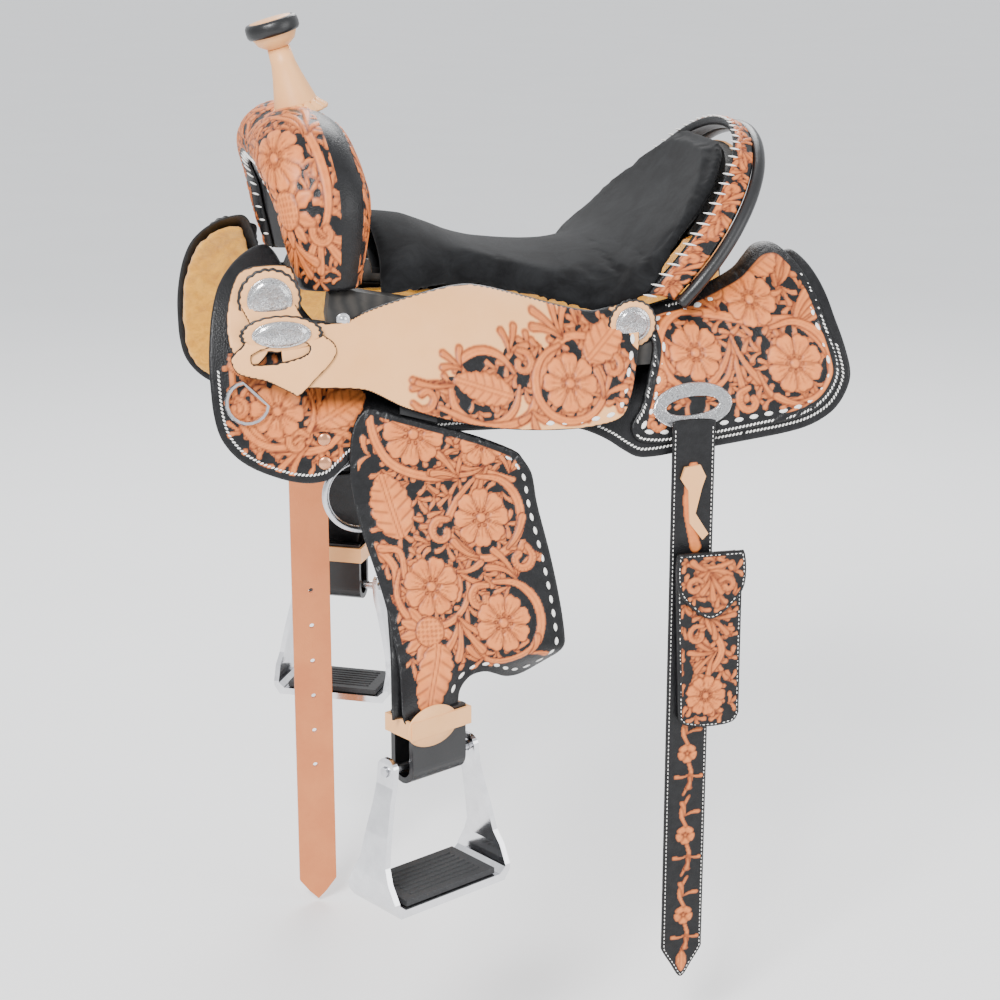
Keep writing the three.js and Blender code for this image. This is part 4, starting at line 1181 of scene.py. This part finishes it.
def make_hardware(tag, sign):
    angles = np.linspace(0, 2 * math.pi, 64, endpoint=False)
    circle = np.stack([np.cos(angles), np.zeros(64), np.sin(angles)], -1)
    ring_path = np.array(RING_CENTRE, float) + RING_RADIUS * circle
    ring = tube(f"ring_{tag}_steel", ring_path, RING_WIRE, f"ring_{tag}", STEEL, "steel", True, sign,
                across=(0, 1, 0))
    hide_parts(f"rigging_ring_{tag}")
    make_screw(tag, sign)
    for number, (x, z) in enumerate(RIVETS):
        base = float(under_bars(np.array([float(x)]), np.array([float(z)]))[0])
        turned(f"rivet_{number}_{tag}", (x, -base, z), OUTWARD,
               [(7, -0.5), (7, 0.8), (5.6, 2.0), (3, 2.8), (0.2, 3.0)], "saddle", COPPER, "steel", sign, 32)


def make_stirrup_details(tag, sign):
    """A plain oval ornament on the hobble strap, and ribs across the tread."""
    low, high = (np.array(corner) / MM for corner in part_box(f"hobble_strap_{tag}"))
    middle, across = (low + high) / 2, (BOLT_DIRECTION[1], -BOLT_DIRECTION[0], 0)
    centre = np.array([middle[0], -max(abs(low[1]), abs(high[1])) + 14, middle[2]])
    plate = [(20, -1.4), (20.6, -0.6), (20, 0.6), (17.6, 0.2), (16.8, 0.9), (9, 1.2), (0.2, 1.3)]
    turned(f"hobble_ornament_{tag}", tuple(centre), across, plate, f"fender_{tag}", TAN, "plain_leather",
           sign, 72, oval=1.5)
    low, high = (np.array(corner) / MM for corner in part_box(f"stirrup_tread_{tag}"))
    centre = np.array([(low[0] + high[0]) / 2, -(abs(low[1]) + abs(high[1])) / 2, high[2]])
    along = np.array(BOLT_DIRECTION)
    cross = np.array([-BOLT_DIRECTION[1], BOLT_DIRECTION[0], 0])
    for number in range(7):
        middle = centre + cross * (number - 3) * 7.5
        rib = [middle - along * 44, middle, middle + along * 44]
        tube(f"tread_rib_{number}_{tag}", even_path(rib, 12)[0], 1.3, f"stirrup_{tag}", RUBBER, "rubber",
             sign=sign, sides=8, across=cross)


def fender_loops(tag):
    """The fender's outline with its top raised under the jockey and its tail carried into the hobble."""
    loops = outlines(f"fender_{tag}")
    for loop in loops[:1]:
        loop[:, 1] += 6 * smoothstep(loop[:, 1], -100, -50) - 12 * smoothstep(loop[:, 1], -270, -296)
    return loops


def make_fender(tag, sign):
    loops = fender_loops(tag)
    body = f"fender_{tag}"
    fender = leather_sheet(f"fender_{tag}_leather", loops, beside_fender, 1.2, LEATHER, body, TOOLED,
                           "carved_leather", sign, carving=fender_carving(), step=CARVED_STEP, dye=9)
    rope = stitch_row(f"fender_lace_{tag}", inset(loops[0], 9), beside_fender, 3.8, body, WHITE_LACE,
                      "carved_leather", sign, length=8.0, width=3.8, pitch=13.0,
                      keep=lambda x, z: -290 < z < -66 and x > -118)
    middle = -105.0
    hinge = hinge_line(middle)
    out = float(fender_side(middle, hinge))
    for piece in (fender, rope):
        free(piece)
        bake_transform(piece)
    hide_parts(f"fender_{tag}")


def make_loop_strap(tag, sign):
    """The stirrup's leather goes on up behind the fender, so that no gap opens as it is let down."""
    corners = np.array([(-169, -302), (-105, -302), (-105, -206), (-169, -206)], float)
    loop = spline(hold_straights(corners), 5, closed=True)
    leather_sheet(f"loop_strap_{tag}", [loop], beside_fender, -6.4, -3.0, f"loop_{tag}", TOOLED,
                  "black_leather", sign, tan=0.0)


def free(piece):
    """Takes the piece off its parent and drops its rig body."""
    piece.parent = None
    if "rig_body" in piece:
        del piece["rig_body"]


def make_screw(tag, sign):
    x, z = SCREW
    base = float(side(np.array([float(x)]), np.array([float(z)]))[0]) + JOCKEY_LIFT + LEATHER
    outline = [(7, -0.6), (7, 0.6), (5.4, 1.2), (5.0, 0.5), (3.4, 1.9), (0.2, 2.6)]
    turned(f"jockey_screw_{tag}", (x, -base, z), OUTWARD, outline, "saddle", STEEL, "steel", sign, 40)


def ruffle(piece, amount):
    """Uneven wool: a fixed sum of waves pushes each vertex out and in."""
    mesh = piece.data
    count = len(mesh.vertices)
    spots = np.zeros(count * 3)
    normals = np.zeros(count * 3)
    mesh.vertices.foreach_get("co", spots)
    mesh.vertex_normals.foreach_get("vector", normals)
    spots, normals = spots.reshape(-1, 3) / MM, normals.reshape(-1, 3)
    waves = np.zeros(count)
    for k, period in enumerate((5.5, 8.3, 12.7)):
        down = np.sin(spots[:, 2] / period * 2.3 + 2 * k + spots[:, 0] * 0.05)
        waves += np.sin(spots[:, 0] / period * 2 + k) * down
    spots += normals * (amount * waves / 2)[:, None]
    mesh.vertices.foreach_set("co", (spots * MM).ravel())
    mesh.update()


# ---------- fork and horn ----------
FORK_HALF = [(-202, -130, 86), (-204, -131, 128), (-206, -124, 168), (-214, -96, 200),
             (-217, -50, 214), (-217, 0, 212)]
fork_depth = profile([[0, 46], [0.45, 48], [0.7, 44], [1, 30]])
fork_height = profile([[0, 34], [0.35, 38], [0.6, 34], [1, 20]])


def fork_grid(stations, angles, share=1.0):
    centre, length = even_path(mirrored_path(FORK_HALF), stations)
    along = np.gradient(centre, axis=0)
    along[:, 0] = 0
    along /= np.linalg.norm(along, axis=1)[:, None]
    out = np.stack([np.zeros(stations), -along[:, 2], along[:, 1]], -1)
    from_top = np.abs(np.linspace(-1, 1, stations))
    turn = np.radians(angles)
    rise = np.sin(turn)[None] * fork_height(from_top)[:, None] * share
    grid = centre[:, None] + out[:, None] * rise[..., None]
    grid[..., 0] += np.cos(turn)[None] * fork_depth(from_top)[:, None] * share
    return grid, from_top * length / 2


def make_fork():
    stations, steps = 320, 150
    grid, along = fork_grid(stations, np.linspace(218, -38, steps))
    across = np.linspace(0, SWELL_WRAP, steps)
    flat = np.stack(np.meshgrid(along, across, indexing="ij"), -1).reshape(-1, 2)
    fields = [field.reshape(stations, steps) for field in swell_carving().sample(flat)]
    band = (across < 16) | ((across > 108) & (across < 136)) | (across > SWELL_WRAP - 7)
    for field in fields[:3]:
        field[:, band] = 0
    cover = shell("swell_cover_leather", grid, LEATHER, "saddle", TOOLED, "carved_leather", fields, flip=True)
    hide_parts("swell_cover")
    gullet, _ = fork_grid(120, np.linspace(222, 318, 24), 0.98)
    lining = shell("gullet_lining", gullet, 3, "saddle", BLACK, "black_leather")
    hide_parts("gullet_cover")
    lace_along("swell_lace", fork_grid(30, np.array([213.0]), 1.015)[0][:, 0],
               fork_grid(30, np.array([206.0]), 1.015)[0][:, 0], "carved_leather")


def lace_along(name, first, second, slot, body="saddle", size=2.3, rise=1.2, sign=-1):
    """A lozenge of lace from each point of one path to the same point of another."""
    vertices, faces = [], []
    for a, b in zip(first, second):
        stretch = np.linspace(-0.6, 1.6, 7)
        path = a + (b - a) * stretch[:, None]
        swell = np.sin(np.pi * np.linspace(0.08, 0.92, 7))
        base = len(vertices)
        direction = (b - a) / np.linalg.norm(b - a)
        other = np.cross(direction, [0.3, 0.2, 0.93])
        other /= np.linalg.norm(other)
        third = np.cross(direction, other)
        for spot, scale in zip(path, swell):
            for k in range(8):
                angle = 2 * math.pi * k / 8
                vertices.append(spot + other * size * scale * math.cos(angle)
                                + third * rise * scale * math.sin(angle))
        faces += [tuple(base + v for v in face) for face in grid_faces(7, 8, wrap_columns=True)]
        faces.append(tuple(base + k for k in reversed(range(8))))
        faces.append(tuple(base + 48 + k for k in range(8)))
    piece = mesh_piece(name, vertices, faces, body, WHITE_LACE, slot, sign)
    outward_faces(piece)
    return piece


HORN_BASE = (-212, 0, 250)
HORN_AXIS = (-0.276, 0, 0.961)


def make_horn():
    neck = [(23, 0.5), (22, 4), (20.6, 10), (18, 20), (15.2, 31), (12.5, 44), (11.5, 60), (6, 60.2)]
    piece = turned("horn_neck_leather", HORN_BASE, HORN_AXIS, neck, "saddle", TAN, "plain_leather", sides=64)
    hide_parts("horn_neck_cover")
    cap = [(11, 60.5), (19, 66), (22.6, 73), (23.1, 80), (23.1, 87), (21, 89.4), (10, 90.2), (0.2, 90.3)]
    piece = turned("horn_cap_leather", HORN_BASE, HORN_AXIS, cap, "saddle", TAN, "plain_leather", sides=64)
    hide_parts("horn_cap")
    rim = [(23.4, 74), (25.6, 74.4), (27.2, 77), (27.5, 81.5), (27.0, 86), (25.4, 88.6), (23.4, 89.0)]
    piece = turned("horn_rim_leather", HORN_BASE, HORN_AXIS, rim, "saddle", BLACK, "black_leather", sides=96)
    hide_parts("horn_cap_rim")
    collar = [(31, -9), (31.6, -7.6), (31, -6), (24.5, 0.5), (22.8, 3)]
    turned("horn_collar", HORN_BASE, HORN_AXIS, collar, "saddle", TAN, "plain_leather",
           sides=144, scallops=16, depth=4)


# ---------- seat and cantle ----------
seat_width = profile([[-160, 96], [-128, 98], [-82, 84], [-56, 80], [-21, 88], [25, 112], [63, 126],
                      [92, 142], [119, 157], [142, 153], [174, 138], [200, 113], [216, 84],
                      [226, 48], [231, 12]])
seat_edge = profile([[-160, 90], [-128, 92], [-82, 96], [-56, 95], [-21, 88], [25, 78], [63, 72],
                     [92, 76], [119, 90], [142, 112], [174, 146], [200, 179], [216, 202],
                     [226, 216], [231, 220]])
seat_middle = profile([[-160, 140], [-128, 133], [-82, 116], [-56, 105], [-21, 95], [25, 90], [63, 91],
                       [92, 94], [119, 103], [142, 117], [174, 143], [200, 173], [216, 197],
                       [226, 213], [231, 220]])


def seat_grid(rows, columns, lower, shrink=0.0):
    x = np.linspace(-150 + shrink, 226 - shrink, rows)
    share = np.sin(np.linspace(-math.pi / 2, math.pi / 2, columns))
    half = seat_width(x) - shrink
    z = seat_middle(x)[:, None] + (seat_edge(x) - seat_middle(x))[:, None] * share[None] ** 2 - lower
    low_part = 1 - smoothstep(x, 120, 165)
    z -= SEAT_TURNDOWN * low_part[:, None] * smoothstep(np.abs(share), 0.93, 1.0)[None]
    return np.stack([np.repeat(x[:, None], columns, 1), half[:, None] * share[None], z], -1)


def make_seat():
    top = seat_grid(110, 80, 3.0, -1.0)
    piece = shell("suede_seat_pad", top, PAD_THICKNESS, "saddle", SUEDE, "suede", flip=True)
    swell(piece, 5)
    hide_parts("suede_seat")


def swell(piece, cap):
    """Fills a pad with air by cloth simulation; no point moves further than the cap, in millimetres."""
    remesh = piece.modifiers.new("remesh", "REMESH")
    remesh.mode = "VOXEL"
    remesh.voxel_size = 0.004
    finish_modifiers(piece)
    start = read_points(piece)
    cloth = piece.modifiers.new("cloth", "CLOTH")
    cloth.settings.use_pressure = True
    cloth.settings.uniform_pressure_force = 4
    cloth.settings.effector_weights.gravity = 0
    cloth.point_cache.frame_start = 1
    cloth.point_cache.frame_end = 20
    for number in range(1, 21):
        bpy.context.scene.frame_set(number)
    finish_modifiers(piece)
    bpy.context.scene.frame_set(1)
    moved = read_points(piece) - start
    reach = np.linalg.norm(moved, axis=1)[:, None]
    moved *= np.minimum(1, cap * MM / np.maximum(reach, 1e-9))
    piece.data.vertices.foreach_set("co", (start + moved).ravel())
    finer = piece.modifiers.new("finer", "SUBSURF")
    finer.levels = finer.render_levels = 1
    finish_modifiers(piece)
    piece.data.polygons.foreach_set("use_smooth", [True] * len(piece.data.polygons))


def read_points(piece):
    points = np.zeros(len(piece.data.vertices) * 3)
    piece.data.vertices.foreach_get("co", points)
    return points.reshape(-1, 3)


def finish_modifiers(piece):
    graph = bpy.context.evaluated_depsgraph_get()
    mesh = bpy.data.meshes.new_from_object(piece.evaluated_get(graph))
    piece.modifiers.clear()
    piece.data = mesh


CANTLE_RIM = [(112, -163, 70), (128, -166, 92), (152, -160, 118), (182, -144, 152), (208, -118, 185),
              (226, -84, 209), (237, -44, 223), (241, 0, 227)]
CANTLE_OUTER = [(148, -170, 64), (166, -172, 84), (190, -166, 110), (214, -153, 140), (234, -132, 167),
                (250, -102, 192), (260, -58, 212), (264, 0, 220)]
BELOW = np.array([0.35, 0, -1]) / math.hypot(0.35, 1)


def make_cantle():
    stations, steps = 460, 26
    rim, length = even_path(mirrored_path(CANTLE_RIM), stations)
    outer, _ = even_path(mirrored_path(CANTLE_OUTER), stations)
    share = np.linspace(0, 0.78, steps)
    grid = rim[:, None] + (outer - rim)[:, None] * share[None, :, None]
    arch = 2.4 * np.sin(np.pi * share / 0.78)
    grid = grid - BELOW * arch[None, :, None]
    along = np.linspace(-length / 2, length / 2, stations)
    across = np.linspace(0, ROLL_WIDTH, steps)
    flat = np.stack(np.meshgrid(along, across, indexing="ij"), -1).reshape(-1, 2)
    fields = [field.reshape(stations, steps) for field in cantle_carving(length, ROLL_WIDTH).sample(flat)]
    for field in fields[:3]:
        field[:, :4] = 0
    roll = shell("cantle_roll_leather", grid, PAD_THICKNESS, "saddle", TOOLED, "carved_leather", fields,
                 flip=True)
    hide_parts("cantle_roll")
    lift = -BELOW * 1.2
    rim_few, _ = even_path(mirrored_path(CANTLE_RIM), 46)
    outer_few, _ = even_path(mirrored_path(CANTLE_OUTER), 46)
    gap = outer_few - rim_few
    inner, outside = rim_few + gap * 0.03 + lift, rim_few + gap * 0.2 + lift
    lace_along("cantle_lace", inner, outside, "carved_leather", size=3)
    rolled = rim + (outer - rim) * 0.91
    binding = tube("cantle_binding_leather", rolled[::3] + BELOW * 3.4, 6.6, "saddle", BLACK, "black_leather")
    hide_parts("cantle_binding")


# ---------- straps ----------
def make_pouch():
    def place(x, z, offset):
        return np.stack([x, -offset * np.ones_like(x), z], -1)
    for node, inner, outer, slot, carving in (
            ("pouch", 224.4, 232.6, "carved_leather", pouch_carving()),
            ("pouch_flap", 234.8, 238.4, "carved_leather", flap_carving()),
            ("flank_billet", 220.5, 224.0, "black_leather", billet_carving())):
        body = "pouch_flap" if node == "pouch_flap" else "flank_billet"
        piece = leather_sheet(f"{node}_leather", outlines(node), place, inner, outer, body, TOOLED, slot, -1,
                              carving=carving, step=CARVED_STEP, dye=5)
        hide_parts(node)
        beyond = -52 if node == "flank_billet" else 0
        stitch_row(f"{node}_thread", inset(outlines(node)[0], 2.8), place, outer, body, WHITE_LACE, slot, -1,
                   pitch=4.4, length=3.0, width=1.1, height=0.7, keep=lambda x, z: z < beyond)


# ---------- carried-over solids ----------
def finish_solids():
    looks = {"tree_bar": WOOD, "fork": WOOD, "cantle_board": WOOD, "ground_seat": BLACK, "horn_core": STEEL,
             "stirrup_leather": BLACK, "leather_loop": BLACK, "stirrup_bow": ALUMINIUM, "stirrup_bolt": STEEL,
             "stirrup_tread": RUBBER, "hobble_strap": TAN, "rigging_strap": BLACK, "breast_dee": STEEL,
             "off_billet": LATIGO, "cantle_back": TAN, "lace_tie": TAN}
    for name, node in NODES.items():
        base = name.removesuffix("_near").removesuffix("_off")
        if base in looks:
            for slot in node.material_slots:
                slot.material = looks[base]


# ---------- stage ----------
def area_light(name, place, aim, size, power):
    data = bpy.data.lights.new(name, "AREA")
    data.shape = "RECTANGLE"
    data.size, data.size_y = size
    data.energy = power
    light = bpy.data.objects.new(name, data)
    bpy.context.scene.collection.objects.link(light)
    light.location = place
    light.rotation_euler = (Vector(aim) - Vector(place)).to_track_quat("-Z", "Y").to_euler()


def make_stage():
    floor_mesh = bpy.data.meshes.new("floor")
    low = CAD_BOX[0][2] - 0.004
    reach = 60.0
    corners = [(-reach, -reach, low), (reach, -reach, low), (reach, reach, low), (-reach, reach, low)]
    floor_mesh.from_pydata(corners, [], [(0, 1, 2, 3)])
    floor = bpy.data.objects.new("floor", floor_mesh)
    bpy.context.scene.collection.objects.link(floor)
    material, tree, shader = material_base("pale_floor")
    speckle = texture(tree, "ShaderNodeTexNoise", 3, Detail=3.0)
    tree.links.new(mix_colour(tree, speckle.outputs["Fac"], (0.88, 0.88, 0.88), (0.92, 0.92, 0.92)),
                   shader.inputs["Base Color"])
    shader.inputs["Roughness"].default_value = 0.9
    floor_mesh.materials.append(material)
    world = bpy.data.worlds.new("studio")
    world.use_nodes = True
    background = world.node_tree.nodes["Background"]
    background.inputs["Color"].default_value = (0.95, 0.97, 1.0, 1)
    background.inputs["Strength"].default_value = 1.25
    bpy.context.scene.world = world
    area_light("key", (-1.6, -2.4, 2.2), (0, 0, -0.1), (1.2, 1.2), 180)
    area_light("fill", (2.2, -2.0, 0.8), (0, 0, -0.2), (1.8, 1.8), 40)
    area_light("rim", (0.6, 2.2, 1.8), (0, 0, 0), (1.4, 1.4), 60)


CAMERA_PLACE = (-0.5126, -2.2030, 0.4686)
CAMERA_AIM = (0, 0, -0.18)
CAMERA_LENS = 77.7


def make_camera():
    data = bpy.data.cameras.new("camera")
    data.lens = CAMERA_LENS
    data.sensor_width = 36
    camera = bpy.data.objects.new("camera", data)
    bpy.context.scene.collection.objects.link(camera)
    camera.location = CAMERA_PLACE
    aim = Vector(CAMERA_AIM) - camera.location
    camera.rotation_euler = aim.to_track_quat("-Z", "Y").to_euler()
    bpy.context.scene.camera = camera


for tag, sign in SIDES:
    make_side(tag, sign)
make_fork()
make_horn()
make_seat()
make_cantle()
make_pouch()
finish_solids()
make_stage()
make_camera()
